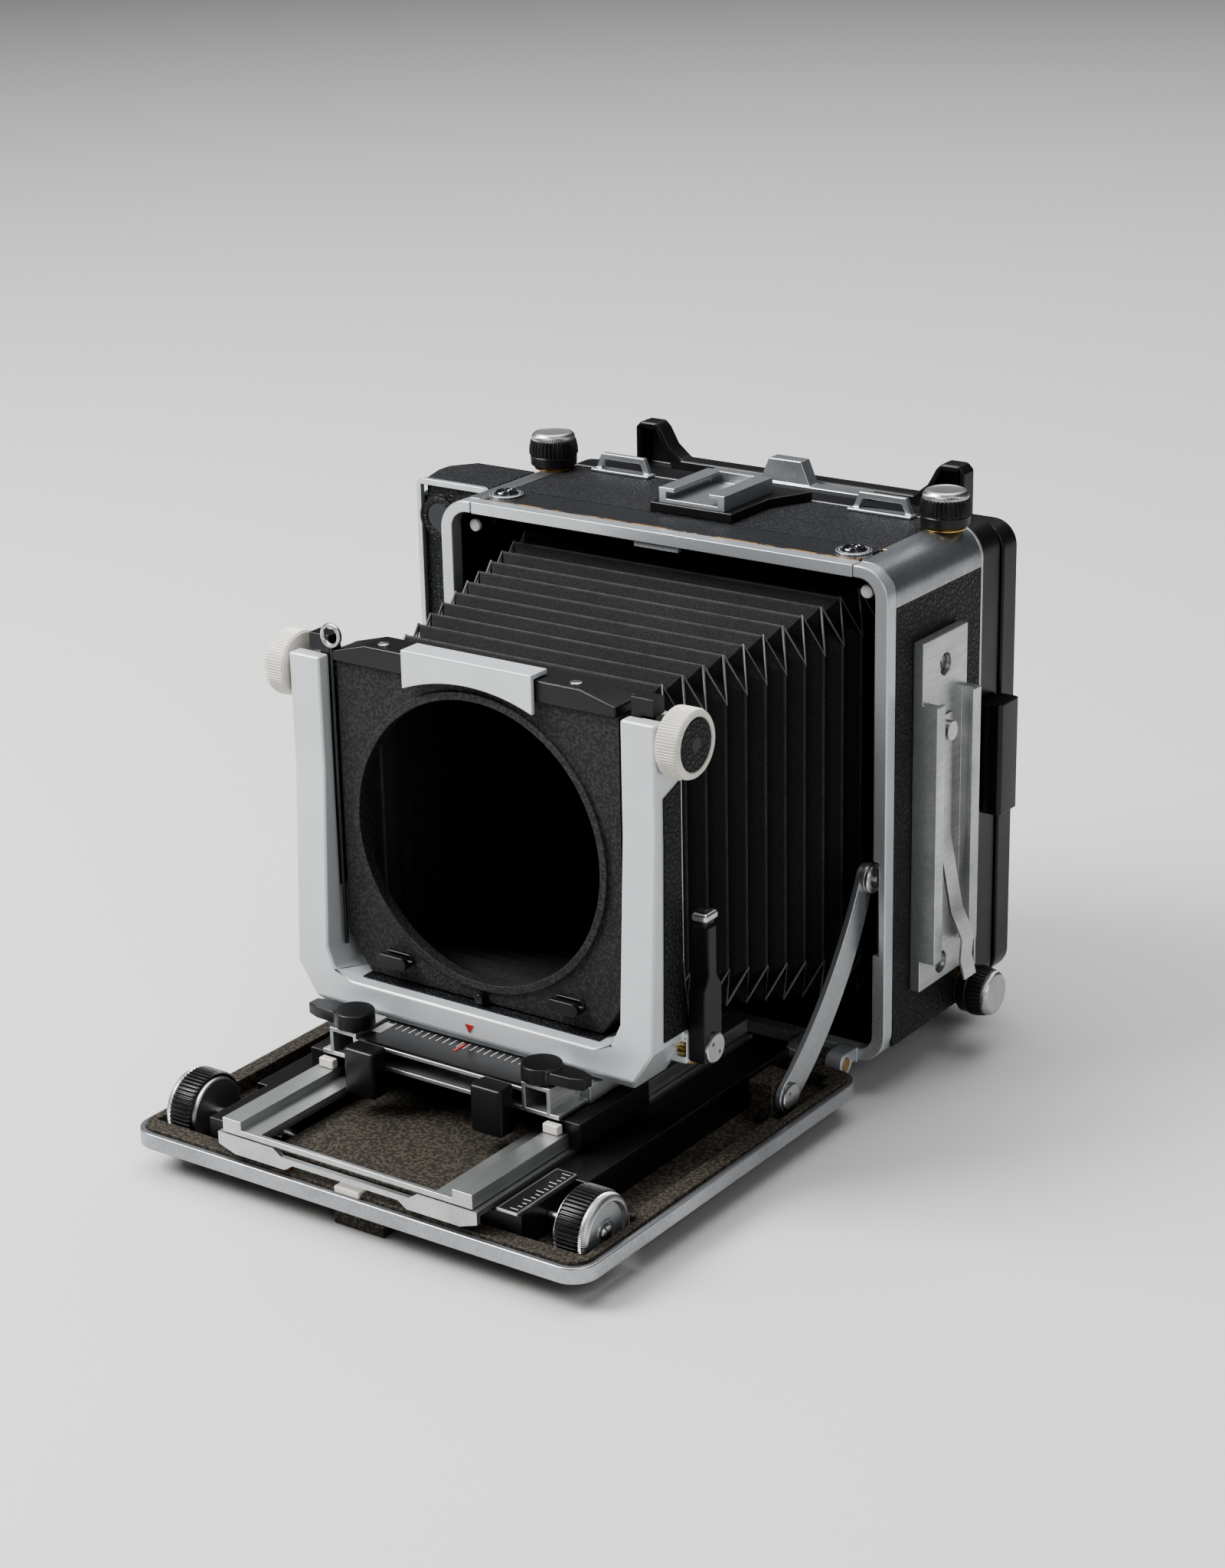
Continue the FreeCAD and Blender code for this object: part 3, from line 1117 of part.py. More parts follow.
def rise_lever():
    """Ratchet lever that winds the risers up, behind the right arm."""
    x0, x1 = RISE_IN_X, RISE_IN_X + RISE_W
    y, z = LEVER_PIVOT_Y, LEVER_PIVOT_Z
    outline = [(y - 4.5, z - 4), (y + 4.5, z - 4), (y + 4.5, z + 18), (y + 2, z + 22),
               (y + 2, z + RISE_L - 4), (y - 2, z + RISE_L - 4), (y - 2, z + 22), (y - 4.5, z + 18)]
    blade = prism(outline, "YZ", x0, x1)
    top = rod(x0 + 1, y, z + RISE_L - 2, 3.0, RISE_W - 2, ALONG_X)
    bore = rod(x0 - 3, y, z, 2.0 + RUN, RISE_W + 6, ALONG_X)
    return [joined([blade, top]).cut(bore)]


# ---------------- rear extension and back ----------------

def back_frame():
    """Frame that draws out of the housing on four rods."""
    half = HALF - BACK_INSET
    low, high = BACK_INSET, BODY_H - BACK_INSET
    y0, y1 = BACK_Y, BACK_Y + BACK_T
    ring = rounded(-half, half, y0, y1, low, high, CORNER_R - 1, 1)
    return [ring.cut(box(-BACK_WINDOW_X, BACK_WINDOW_X, y0 - 1, y1 + 1,
                         MID_Z - BACK_WINDOW_Z, MID_Z + BACK_WINDOW_Z))]


def back_rods():
    """Four rods from the back frame into the housing's corners."""
    rods = []
    for side in SIDES:
        for height in (ROD_INSET, BODY_H - ROD_INSET):
            rods.append(rod(side * (HALF - ROD_INSET), ROD_FRONT, height, ROD_R, BACK_Y - ROD_FRONT, ALONG_Y))
    return rods


def back_latch():
    """Sliding catch that frees the revolving back."""
    x0 = HALF - BACK_INSET + CLEAR
    return [rounded(x0, x0 + LATCH_OUT, BACK_Y + LATCH_Y_IN, BACK_Y + BACK_T, LATCH_Z0, LATCH_Z1, 1.5, 2)]


def revolving_back():
    """Square plate that turns on the back frame about the lens axis."""
    y0, y1 = REVOLVE_Y, REVOLVE_Y + REVOLVE_T
    plate = rounded(-REVOLVE_W / 2, REVOLVE_W / 2, y0, y1, MID_Z - REVOLVE_H / 2, MID_Z + REVOLVE_H / 2,
                    REVOLVE_R, 1)
    return [plate.cut(box(-FILM_X, FILM_X, y0 - 1, y1 + 1, MID_Z - FILM_Z, MID_Z + FILM_Z))]


def ground_glass_frame():
    """Spring back's frame with two horns that guide a film holder."""
    y0, y1 = GG_Y, GG_Y + GG_T
    plate = rounded(-GG_HALF_X, GG_HALF_X, y0, y1, GG_LOW, GG_HIGH, 3.0, 1)
    x = GG_HALF_X
    horn = [(x, GG_HIGH - 8), (x, HORN_TOP - 2), (x - 2, HORN_TOP), (x - HORN_TOP_W + 2, HORN_TOP),
            (x - HORN_TOP_W, HORN_TOP - 2), (x - HORN_TOP_W - 3, GG_HIGH + 4),
            (x - HORN_BASE_W, GG_HIGH), (x - HORN_BASE_W, GG_HIGH - 8)]
    plate = joined([plate] + both(prism(horn, "XZ", y0, y1)))
    e = HORN_EDGE
    pocket = [(x - e, GG_HIGH - 3), (x - e, HORN_TOP - e - 0.5), (x - HORN_TOP_W + e, HORN_TOP - e - 0.5),
              (x - HORN_BASE_W + 2 * e, GG_HIGH - 3)]
    plate = minus(plate, both(prism(pocket, "XZ", y0 - 1, y0 + HORN_POCKET)))
    window = box(-GG_OPEN_X, GG_OPEN_X, y0 - 1, y1 + 1, MID_Z - GG_OPEN_Z, MID_Z + GG_OPEN_Z)
    rebate = box(-GG_OPEN_X - GG_REBATE, GG_OPEN_X + GG_REBATE, y0 - 1, y0 + 3,
                 MID_Z - GG_OPEN_Z - GG_REBATE, MID_Z + GG_OPEN_Z + GG_REBATE)
    return [minus(plate, [window, rebate])]


def ground_glass():
    """Matt focusing screen in the frame's rebate."""
    x = GG_OPEN_X + GG_REBATE - CLEAR
    z = GG_OPEN_Z + GG_REBATE - CLEAR
    y1 = GG_Y + 3
    return [box(-x, x, y1 - GG_PANE_T, y1, MID_Z - z, MID_Z + z)]


def hood_lid():
    """Lid of the folded focusing hood, behind the ground glass."""
    y0 = GG_Y + GG_T + CLEAR
    lid = rounded(-HOOD_HALF, HOOD_HALF, y0, y0 + HOOD_T, HOOD_LOW, HOOD_HIGH, 4.0, 1)
    hollow = box(2.5 - HOOD_HALF, HOOD_HALF - 2.5, y0 - 1, y0 + HOOD_T - 2, HOOD_LOW + 2.5, HOOD_HIGH - 2.5)
    return [lid.cut(hollow)]


def slide_lock(up):
    """Sliding lock on the upper or lower edge of the revolving back."""
    edge = REVOLVE_H / 2 + CLEAR
    y0, y1 = REVOLVE_Y + 2.5, REVOLVE_Y + REVOLVE_T
    base = edge + SLIDE_BAR_H
    bar = box(-SLIDE_HALF, SLIDE_HALF, y0, y1, MID_Z + edge, MID_Z + base)
    outline = [(-SLIDE_TAB_LOW / 2, MID_Z + base - 0.5), (SLIDE_TAB_LOW / 2, MID_Z + base - 0.5),
               (SLIDE_TAB_TOP / 2, MID_Z + base + SLIDE_TAB_H), (-SLIDE_TAB_TOP / 2, MID_Z + base + SLIDE_TAB_H)]
    lock = joined([bar, prism(outline, "XZ", y0 + 1, y1)])
    if not up:
        lock = lock.mirror(Vec(0, 0, MID_Z), ALONG_Z)
    return [lock]


os.makedirs("parts", exist_ok=True)
save("housing_shell", [housing_shell()])
save("body_rims", body_rims())
save("body_coverings", body_coverings())
save("base_plate", [base_plate()])
save("tripod_bushes", tripod_bushes())
save("rangefinder_housing", rangefinder_housing())
save("rangefinder_frame", rangefinder_frame())
save("rangefinder_window", rangefinder_window())
save("grip_rail", grip_rail())
save("grip_spring", grip_spring())
save("shoe_base", shoe_base())
save("accessory_shoe", accessory_shoe())
save("strap_loops", strap_loops())
save("top_flap", top_flap())
save("flap_covering", flap_covering())
save("bellows", bellows())
save("bellows_rear_frame", bellows_rear_frame())
save("bed_hinge_pins", bed_hinge_pins())
save("bed_tray", bed_tray())
save("bed_rim", bed_rim())
save("track_guides", track_guides())
save("focus_scale", focus_scale())
save("main_track", main_track())
save("focus_shaft", focus_shaft())
save("focus_knobs", focus_knobs())
save("upper_track", upper_track())
save("carriage", carriage())
save("shift_rail", shift_rail())
save("ruler_strip", ruler_strip())
save("standard_frame", standard_frame())
save("frame_inlays", frame_inlays())
save("riser_bars", riser_bars())
save("lens_panel", lens_panel())
save("panel_bridge", panel_bridge())
save("board_hooks", board_hooks())
save("board_lock", board_lock())
save("rise_lever", rise_lever())
save("back_frame", back_frame())
save("back_rods", back_rods())
save("back_latch", back_latch())
save("revolving_back", revolving_back())
save("ground_glass_frame", ground_glass_frame())
save("ground_glass", ground_glass())
save("hood_lid", hood_lid())
save("slide_lock_top", slide_lock(True))
save("slide_lock_bottom", slide_lock(False))
for side, hand in ((1, "left"), (-1, "right")):
    save("release_button_" + hand, release_button(side))
    save("top_knob_" + hand, top_knob(side))
    save("side_knob_" + hand, side_knob(side))
    save("strut_" + hand, strut(side))
    save("pinch_tab_" + hand, pinch_tab(side))
    save("base_lever_" + hand, base_lever(side))
    save("tilt_knob_" + hand, tilt_knob(side))
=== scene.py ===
"""Looks of a 4x5 folding field camera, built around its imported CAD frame."""

import json
import math

import bmesh
import bpy
from mathutils import Matrix, Vector

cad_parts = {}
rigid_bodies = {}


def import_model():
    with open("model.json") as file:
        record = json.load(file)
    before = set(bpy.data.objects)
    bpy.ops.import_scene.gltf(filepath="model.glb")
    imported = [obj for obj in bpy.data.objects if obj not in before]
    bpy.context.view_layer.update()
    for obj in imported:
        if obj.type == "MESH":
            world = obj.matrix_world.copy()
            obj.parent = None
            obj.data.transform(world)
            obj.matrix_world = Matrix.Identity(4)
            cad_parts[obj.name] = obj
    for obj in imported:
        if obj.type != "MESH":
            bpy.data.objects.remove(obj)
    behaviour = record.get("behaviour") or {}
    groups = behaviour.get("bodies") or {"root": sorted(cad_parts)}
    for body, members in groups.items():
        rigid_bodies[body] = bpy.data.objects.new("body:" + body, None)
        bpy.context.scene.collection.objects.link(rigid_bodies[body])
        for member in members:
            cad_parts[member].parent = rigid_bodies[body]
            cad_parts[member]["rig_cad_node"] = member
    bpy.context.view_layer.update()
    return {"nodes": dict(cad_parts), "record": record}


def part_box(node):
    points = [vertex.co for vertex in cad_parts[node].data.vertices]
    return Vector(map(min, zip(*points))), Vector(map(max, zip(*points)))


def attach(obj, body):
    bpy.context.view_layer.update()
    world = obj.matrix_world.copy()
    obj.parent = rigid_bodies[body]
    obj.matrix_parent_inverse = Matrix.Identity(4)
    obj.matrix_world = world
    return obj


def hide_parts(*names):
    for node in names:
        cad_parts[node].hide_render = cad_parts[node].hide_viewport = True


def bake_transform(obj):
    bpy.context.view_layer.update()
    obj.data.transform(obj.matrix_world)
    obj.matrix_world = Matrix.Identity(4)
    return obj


bl_info = {
    "name": "Field camera finish",
    "version": (1, 0, 0),
    "blender": (4, 5, 0),
    "location": "View3D > Sidebar > Field camera",
    "description": "Bellows, knobs, screws and finishes of a folding field camera",
    "category": "Object",
}

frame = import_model()
NODES = frame["nodes"]
RECORD = frame["record"]
BODY_OF = {n: b for b, ns in RECORD["behaviour"]["bodies"].items() for n in ns}
# middle of every joint, in metres
PIVOT = {j["name"]: Vector(j["pos_m"]) for j in RECORD["behaviour"]["joints"]}

MM = 0.001
HOUSING_LOW, HOUSING_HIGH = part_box("housing_shell")
SOCKET_Y = round(-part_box("top_flap")[0][1] / MM, 2)          # the origin lies this far behind the front
BASE_H = round(HOUSING_LOW[2] / MM, 2)                       # and this far under the housing's underside
H = round((HOUSING_HIGH[2] - HOUSING_LOW[2]) / MM, 2)        # housing height
HALF = round(HOUSING_HIGH[0] / MM, 2)                        # half the housing's width
SIDES = (("left", 1), ("right", -1))
X, Y, Z = Vector((1, 0, 0)), Vector((0, 1, 0)), Vector((0, 0, 1))


def at(x, y, z):
    """Millimetres from the housing's lower front edge, as a point of the row frame."""
    return Vector((x, y - SOCKET_Y, z + BASE_H)) * MM


def beside(joint, side, step):
    """Point on a joint's axis, a step in millimetres further out along X."""
    return PIVOT[joint] + X * side * step * MM


# ---------------- sizes and colours a user may change ----------------

def colour_prop(name, text, value):
    return bpy.props.FloatVectorProperty(name=name, description=text, default=value, size=3,
                                         min=0.0, max=1.0, subtype="COLOR")


def size_prop(name, text, value):
    return bpy.props.FloatProperty(name=name, description=text, default=value, min=0.0,
                                   unit="LENGTH", subtype="DISTANCE")


def count_prop(name, text, value):
    return bpy.props.IntProperty(name=name, description=text, default=value, min=8)


class FieldCameraSizes(bpy.types.PropertyGroup):
    pleat_depth: size_prop("Pleat depth", "Height of a fold from valley to ridge", 4.6 * MM)
    cloth: size_prop("Bellows cloth", "Thickness of the bellows", 0.5 * MM)
    seam: size_prop("Corner seam", "Radius of the raised seam on a bellows corner", 0.42 * MM)
    knob_ribs: count_prop("Knob ribs", "Ribs round a lock knob", 36)
    tyre_ribs: count_prop("Tyre ribs", "Ribs round a focusing knob", 56)


class FieldCameraColours(bpy.types.PropertyGroup):
    paint: colour_prop("Silver paint", "Paint of the standard and the rims", (0.60, 0.62, 0.64))
    band: colour_prop("Housing paint", "Bare paint of the housing's edges", (0.42, 0.43, 0.45))
    leather: colour_prop("Leather", "Covering of the housing", (0.0085, 0.010, 0.0135))
    bellows: colour_prop("Bellows", "Cloth of the bellows", (0.016, 0.016, 0.016))
    ivory: colour_prop("Ivory", "Tilt knobs and pads", (0.74, 0.71, 0.64))
    black: colour_prop("Black paint", "Painted and blackened metal", (0.008, 0.008, 0.009))
    wrinkle: colour_prop("Wrinkle paint", "Inside of the bed", (0.085, 0.073, 0.057))
    brass: colour_prop("Brass", "Collars, nuts and pins", (0.62, 0.42, 0.16))


# ---------------- modelling helpers ----------------

def plain():
    """Leaves edit mode and deselects everything."""
    if bpy.context.object and bpy.context.object.mode != "OBJECT":
        bpy.ops.object.mode_set(mode="OBJECT")
    bpy.ops.object.select_all(action="DESELECT")


def only(obj):
    plain()
    obj.select_set(True)
    bpy.context.view_layer.objects.active = obj


def take(name):
    obj = bpy.context.object
    obj.name = name
    obj.data.name = name
    return obj


def settle(obj):
    """Puts the object's place, turn and scale into its mesh."""
    only(obj)
    bpy.ops.object.transform_apply(location=True, rotation=True, scale=True)
    return obj


def edit(obj):
    only(obj)
    bpy.ops.object.mode_set(mode="EDIT")


def pick(obj, kind, test):
    """Selects verts, edges or faces of the edited mesh by a test."""
    bpy.ops.mesh.select_mode(type=kind)
    bpy.ops.mesh.select_all(action="DESELECT")
    mesh = bmesh.from_edit_mesh(obj.data)
    items = {"VERT": mesh.verts, "EDGE": mesh.edges, "FACE": mesh.faces}[kind]
    for item in items:
        if test(item):
            item.select_set(True)
    mesh.select_flush_mode()
    bmesh.update_edit_mesh(obj.data)


def turn_outwards(obj):
    edit(obj)
    bpy.ops.mesh.select_all(action="SELECT")
    bpy.ops.mesh.remove_doubles(threshold=1e-7)
    bpy.ops.mesh.normals_make_consistent(inside=False)
    plain()
    return obj


def apply(obj, modifier):
    only(obj)
    bpy.ops.object.modifier_apply(modifier=modifier.name)


def soften(obj, width, segments=3, angle=32):
    """Rounds every edge sharper than the angle and shades the piece smooth."""
    only(obj)
    bpy.ops.object.shade_smooth_by_angle(angle=math.radians(angle))
    if width > 0:
        bevel = obj.modifiers.new("rounding", "BEVEL")
        bevel.width = width
        bevel.segments = segments
        bevel.limit_method = "ANGLE"
        bevel.angle_limit = math.radians(angle)
        bevel.use_clamp_overlap = False
        bevel.harden_normals = True
        apply(obj, bevel)
    return obj


def block(name, low, high, rounding=0.3 * MM, segments=3):
    """Rounded block between two corners."""
    plain()
    bpy.ops.mesh.primitive_cube_add(size=1, location=(low + high) / 2)
    obj = take(name)
    obj.scale = [abs(v) for v in (high - low)]
    settle(obj)
    return soften(obj, rounding, segments)


def turned(name, outline, sides=48):
    """Turned piece about +Z from (radius, height) steps in millimetres, from the bottom up."""
    plain()
    radius, height = outline[0]
    bpy.ops.mesh.primitive_circle_add(vertices=sides, radius=radius * MM, fill_type="NGON",
                                      location=(0, 0, height * MM))
    obj = settle(take(name))
    edit(obj)
    bpy.ops.mesh.select_all(action="SELECT")
    for r, z in outline[1:]:
        bpy.ops.mesh.extrude_region_move(TRANSFORM_OT_translate={"value": (0, 0, (z - height) * MM)})
        s = r / radius
        bpy.ops.transform.resize(value=(s, s, 1), center_override=(0, 0, 0))
        radius, height = r, z
    return turn_outwards(obj)


def ribbed(obj, low, high, count, depth):
    """Cuts straight ribs round a turned piece, between two heights in millimetres."""
    edit(obj)
    step = 2 * math.pi / count

    def groove(v):
        inside = low * MM - 1e-6 <= v.co.z <= high * MM + 1e-6
        part = (math.atan2(v.co.y, v.co.x) + 1e-4) % step / step
        return inside and math.hypot(v.co.x, v.co.y) > 1e-5 and part < 0.49

    pick(obj, "VERT", groove)
    mesh = bmesh.from_edit_mesh(obj.data)
    far = max(math.hypot(v.co.x, v.co.y) for v in mesh.verts if v.select)
    s = 1 - depth * MM / far
    bpy.ops.transform.resize(value=(s, s, 1), center_override=(0, 0, 0))
    plain()
    return obj


def copy_of(obj, name):
    """A copy with its own mesh, selected alone."""
    only(obj)
    bpy.ops.object.duplicate(linked=False)
    return take(name)


def placed(obj, point, axis=Z, spin=0.0):
    """Turns a piece made about +Z so that it lies along an axis, and moves it to a point."""
    turn = Z.rotation_difference(Vector(axis)).to_matrix().to_4x4()
    obj.matrix_world = Matrix.Translation(point) @ turn @ Matrix.Rotation(spin, 4, "Z")
    bpy.context.view_layer.update()
    return settle(obj)


def cut(obj, cutter):
    """Takes the cutter's shape out of a piece."""
    only(obj)
    knife = obj.modifiers.new("cut", "BOOLEAN")
    knife.operation = "DIFFERENCE"
    knife.solver = "EXACT"
    knife.object = cutter
    apply(obj, knife)
    bpy.data.objects.remove(cutter)
    return obj


def joined(name, objs):
    plain()
    for obj in objs:
        obj.select_set(True)
    bpy.context.view_layer.objects.active = objs[0]
    bpy.ops.object.join()
    return take(name)


def finish_called(name):
    """Material made here; the frame's own have the same names without the ending."""
    return bpy.data.materials[name + "_finish"]


def dress(obj, finish, body, replaces=()):
    """Gives a piece its finish and its body, and hides the CAD nodes it stands for."""
    obj.data.materials.clear()
    for material in finish if isinstance(finish, (list, tuple)) else [finish]:
        obj.data.materials.append(finish_called(material))
    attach(obj, body)
    if replaces:
        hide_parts(*replaces)
    return obj


def refined(node, width, segments=3):
    """Copy of a CAD node with merged points and rounded edges."""
    source = NODES[node]
    obj = source.copy()
    obj.data = source.data.copy()
    bpy.context.scene.collection.objects.link(obj)
    obj.parent = None
    del obj["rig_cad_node"]
    obj.name = node + "_refined"
    obj.data.name = obj.name
    edit(obj)
    bpy.ops.mesh.select_all(action="SELECT")
    bpy.ops.mesh.remove_doubles(threshold=2e-6)
    bpy.ops.mesh.dissolve_limited(angle_limit=math.radians(0.8))
    plain()
    soften(obj, width, segments, 34)
    return obj


# ---------------- shader groups ----------------

class Net:
    """Short way to add and join shader nodes."""

    def __init__(self, tree):
        self.tree = tree

    def node(self, kind, **values):
        made = self.tree.nodes.new(kind)
        for key, value in values.items():
            setattr(made, key, value)
        return made

    def put(self, node, socket, value):
        target = node.inputs[socket]
        if isinstance(value, bpy.types.NodeSocket):
            self.tree.links.new(value, target)
        else:
            target.default_value = value

    def math(self, operation, a, b=0.0, clamp=False):
        made = self.node("ShaderNodeMath", operation=operation, use_clamp=clamp)
        self.put(made, 0, a)
        self.put(made, 1, b)
        return made.outputs[0]

    def ramp(self, value, low, high, out_low=0.0, out_high=1.0, smooth=False):
        made = self.node("ShaderNodeMapRange", clamp=True)
        made.interpolation_type = "SMOOTHSTEP" if smooth else "LINEAR"
        for key, v in (("Value", value), ("From Min", low), ("From Max", high),
                       ("To Min", out_low), ("To Max", out_high)):
            self.put(made, key, v)
        return made.outputs["Result"]

    def mix(self, factor, a, b, blend="MIX"):
        made = self.node("ShaderNodeMix", data_type="RGBA", blend_type=blend)
        self.put(made, 0, factor)
        self.put(made, 6, a)
        self.put(made, 7, b)
        return made.outputs[2]

    def noise(self, vector, scale, detail=2.0, rough=0.5):
        made = self.node("ShaderNodeTexNoise")
        self.put(made, "Vector", vector)
        self.put(made, "Scale", scale)
        self.put(made, "Detail", detail)
        self.put(made, "Roughness", rough)
        return made.outputs[0]

    def cells(self, vector, scale, feature="F1"):
        made = self.node("ShaderNodeTexVoronoi", feature=feature)
        self.put(made, "Vector", vector)
        self.put(made, "Scale", scale)
        return made.outputs["Distance"]

    def coords(self):
        return self.node("ShaderNodeTexCoord").outputs["Object"]

    def parts(self, vector):
        made = self.node("ShaderNodeSeparateXYZ")
        self.put(made, 0, vector)
        return made.outputs


def new_group(name, inputs, outputs):
    tree = bpy.data.node_groups.new(name, "ShaderNodeTree")
    for title, value in inputs:
        socket = tree.interface.new_socket(name=title, in_out="INPUT", socket_type="NodeSocketFloat")
        socket.default_value = value
    for title in outputs:
        tree.interface.new_socket(name=title, in_out="OUTPUT", socket_type="NodeSocketFloat")
    net = Net(tree)
    return net, net.node("NodeGroupInput").outputs, net.node("NodeGroupOutput")


def group_grain():
    """Leather: rounded pebbles with creases between them."""
    net, given, out = new_group("leather_grain", [("Scale", 900.0)], ["Height", "Shade"])
    place = net.coords()
    drift = net.node("ShaderNodeTexNoise")
    net.put(drift, "Vector", place)
    net.put(drift, "Scale", net.math("MULTIPLY", given["Scale"], 0.45))
    shift = net.node("ShaderNodeVectorMath", operation="SCALE")
    net.put(shift, 0, drift.outputs["Color"])
    net.put(shift, "Scale", net.math("DIVIDE", 0.9, given["Scale"]))
    moved = net.node("ShaderNodeVectorMath", operation="ADD")
    net.put(moved, 0, place)
    net.put(moved, 1, shift.outputs[0])
    cell = net.cells(moved.outputs[0], given["Scale"], "DISTANCE_TO_EDGE")
    crease = net.ramp(cell, 0.0, 0.32, smooth=True)
    fine = net.noise(place, net.math("MULTIPLY", given["Scale"], 2.6), 2.0)
    wide = net.noise(place, 22.0, 3.0)
    net.put(out, "Height", net.math("ADD", crease, net.math("MULTIPLY", fine, 0.35)))
    net.put(out, "Shade", net.math("MULTIPLY", crease, net.ramp(wide, 0.3, 0.7, 0.6, 1.0)))


def group_mottle():
    """Paint: soft cloudy tone and a fine orange-peel surface."""
    net, given, out = new_group("paint_mottle", [("Scale", 1200.0)], ["Height", "Shade"])
    place = net.coords()
    fine = net.noise(place, given["Scale"], 2.0)
    wide = net.noise(place, 30.0, 4.0, 0.6)
    net.put(out, "Height", fine)
    net.put(out, "Shade", net.ramp(net.math("ADD", net.math("MULTIPLY", fine, 0.5), wide), 0.5, 1.0))


def group_wrinkle():
    """Wrinkle paint: short crossing ridges."""
    net, given, out = new_group("paint_wrinkle", [("Scale", 900.0)], ["Height", "Shade"])
    place = net.coords()
    a = net.noise(place, given["Scale"], 3.0, 0.65)
    ridge = net.math("ABSOLUTE", net.math("SUBTRACT", a, 0.5))
    bump = net.ramp(ridge, 0.0, 0.16, 1.0, 0.0, smooth=True)
    cell = net.cells(place, net.math("MULTIPLY", given["Scale"], 0.8), "SMOOTH_F1")
    net.put(out, "Height", net.math("ADD", bump, net.math("MULTIPLY", cell, -0.7)))
    fleck = net.noise(place, net.math("MULTIPLY", given["Scale"], 0.62), 2.0, 0.6)
    net.put(out, "Shade", net.ramp(fleck, 0.44, 0.60, smooth=True))


def group_brushed():
    """Drawn metal: fine lines along Y, with a little stain."""
    net, given, out = new_group("brushed_lines", [("Scale", 1500.0)], ["Height", "Shade"])
    place = net.coords()
    stretch = net.node("ShaderNodeMapping")
    net.put(stretch, "Vector", place)
    stretch.inputs["Scale"].default_value = (1.0, 0.05, 1.0)
    lines = net.noise(stretch.outputs[0], given["Scale"], 2.0, 0.6)
    stain = net.noise(place, 60.0, 4.0, 0.65)
    net.put(out, "Height", lines)
    net.put(out, "Shade", net.ramp(net.math("ADD", net.math("MULTIPLY", lines, 0.6), stain), 0.5, 1.1))


def group_wear():
    """Mask that is high on edges, broken up by noise."""
    net, given, out = new_group("edge_wear", [("Radius", 0.0006), ("Amount", 0.5)], ["Mask"])
    bevel = net.node("ShaderNodeBevel", samples=4)
    net.put(bevel, "Radius", given["Radius"])
    facing = net.node("ShaderNodeVectorMath", operation="DOT_PRODUCT")
    net.put(facing, 0, bevel.outputs[0])
    net.put(facing, 1, net.node("ShaderNodeNewGeometry").outputs["Normal"])
    edge = net.ramp(net.math("SUBTRACT", 1.0, facing.outputs["Value"]), 0.02, 0.20)
    broken = net.ramp(net.noise(net.coords(), 420.0, 5.0, 0.7), 0.42, 0.62)
    net.put(out, "Mask", net.math("MULTIPLY", net.math("MULTIPLY", edge, broken), given["Amount"], True))


def group_dust():
    """Mask of settled dust, more on faces that look up."""
    net, given, out = new_group("settled_dust", [("Amount", 0.1)], ["Mask"])
    up = net.parts(net.node("ShaderNodeNewGeometry").outputs["Normal"])["Z"]
    speck = net.ramp(net.noise(net.coords(), 700.0, 3.0, 0.7), 0.55, 0.75)
    haze = net.ramp(net.noise(net.coords(), 45.0, 3.0), 0.35, 0.75)
    both = net.math("ADD", net.math("MULTIPLY", speck, 0.5), net.math("MULTIPLY", haze, 0.5))
    settled = net.math("MULTIPLY", both, net.ramp(up, -0.2, 0.9, 0.15, 1.0))
    net.put(out, "Mask", net.math("MULTIPLY", settled, given["Amount"], True))


def rgba(colour):
    return (*colour, 1.0)


def finish(name, colour, dark, pattern, scale, rough, bump=0.0, metallic=0.0, wear=0.0,
           wear_colour=(0.45, 0.45, 0.44), dust=0.08, coat=0.0, sheen=0.0, specular=0.5, over=None):
    """Material from a pattern group, with edge wear and dust. Returns its shader."""
    material = bpy.data.materials.new(name + "_finish")
    material.use_nodes = True
    tree = material.node_tree
    tree.nodes.clear()
    net = Net(tree)
    shader = net.node("ShaderNodeBsdfPrincipled")
    net.put(net.node("ShaderNodeOutputMaterial"), "Surface", shader.outputs[0])

    def use(group, **values):
        made = net.node("ShaderNodeGroup", node_tree=bpy.data.node_groups[group])
        for key, value in values.items():
            made.inputs[key].default_value = value
        return made.outputs

    grain = use(pattern, Scale=scale)
    tone = net.mix(grain["Shade"], rgba(dark), rgba(colour))
    shine = net.ramp(grain["Shade"], 0.0, 1.0, rough[0], rough[1])
    if over:
        tone, shine = over(net, tone, shine)
    if wear:
        mask = use("edge_wear", Amount=wear)["Mask"]
        tone = net.mix(mask, tone, rgba(wear_colour))
    if dust:
        mask = use("settled_dust", Amount=dust)["Mask"]
        tone = net.mix(mask, tone, rgba((0.32, 0.30, 0.27)))
        shine = net.math("ADD", shine, net.math("MULTIPLY", mask, 0.35), True)
    net.put(shader, "Base Color", tone)
    net.put(shader, "Roughness", shine)
    shader.inputs["Metallic"].default_value = metallic
    shader.inputs["Coat Weight"].default_value = coat
    shader.inputs["Sheen Weight"].default_value = sheen
    shader.inputs["Specular IOR Level"].default_value = specular
    if bump:
        relief = net.node("ShaderNodeBump")
        relief.inputs["Strength"].default_value = 1.0
        relief.inputs["Distance"].default_value = bump * MM
        net.put(relief, "Height", grain["Height"])
        net.put(shader, "Normal", relief.outputs[0])
    return shader


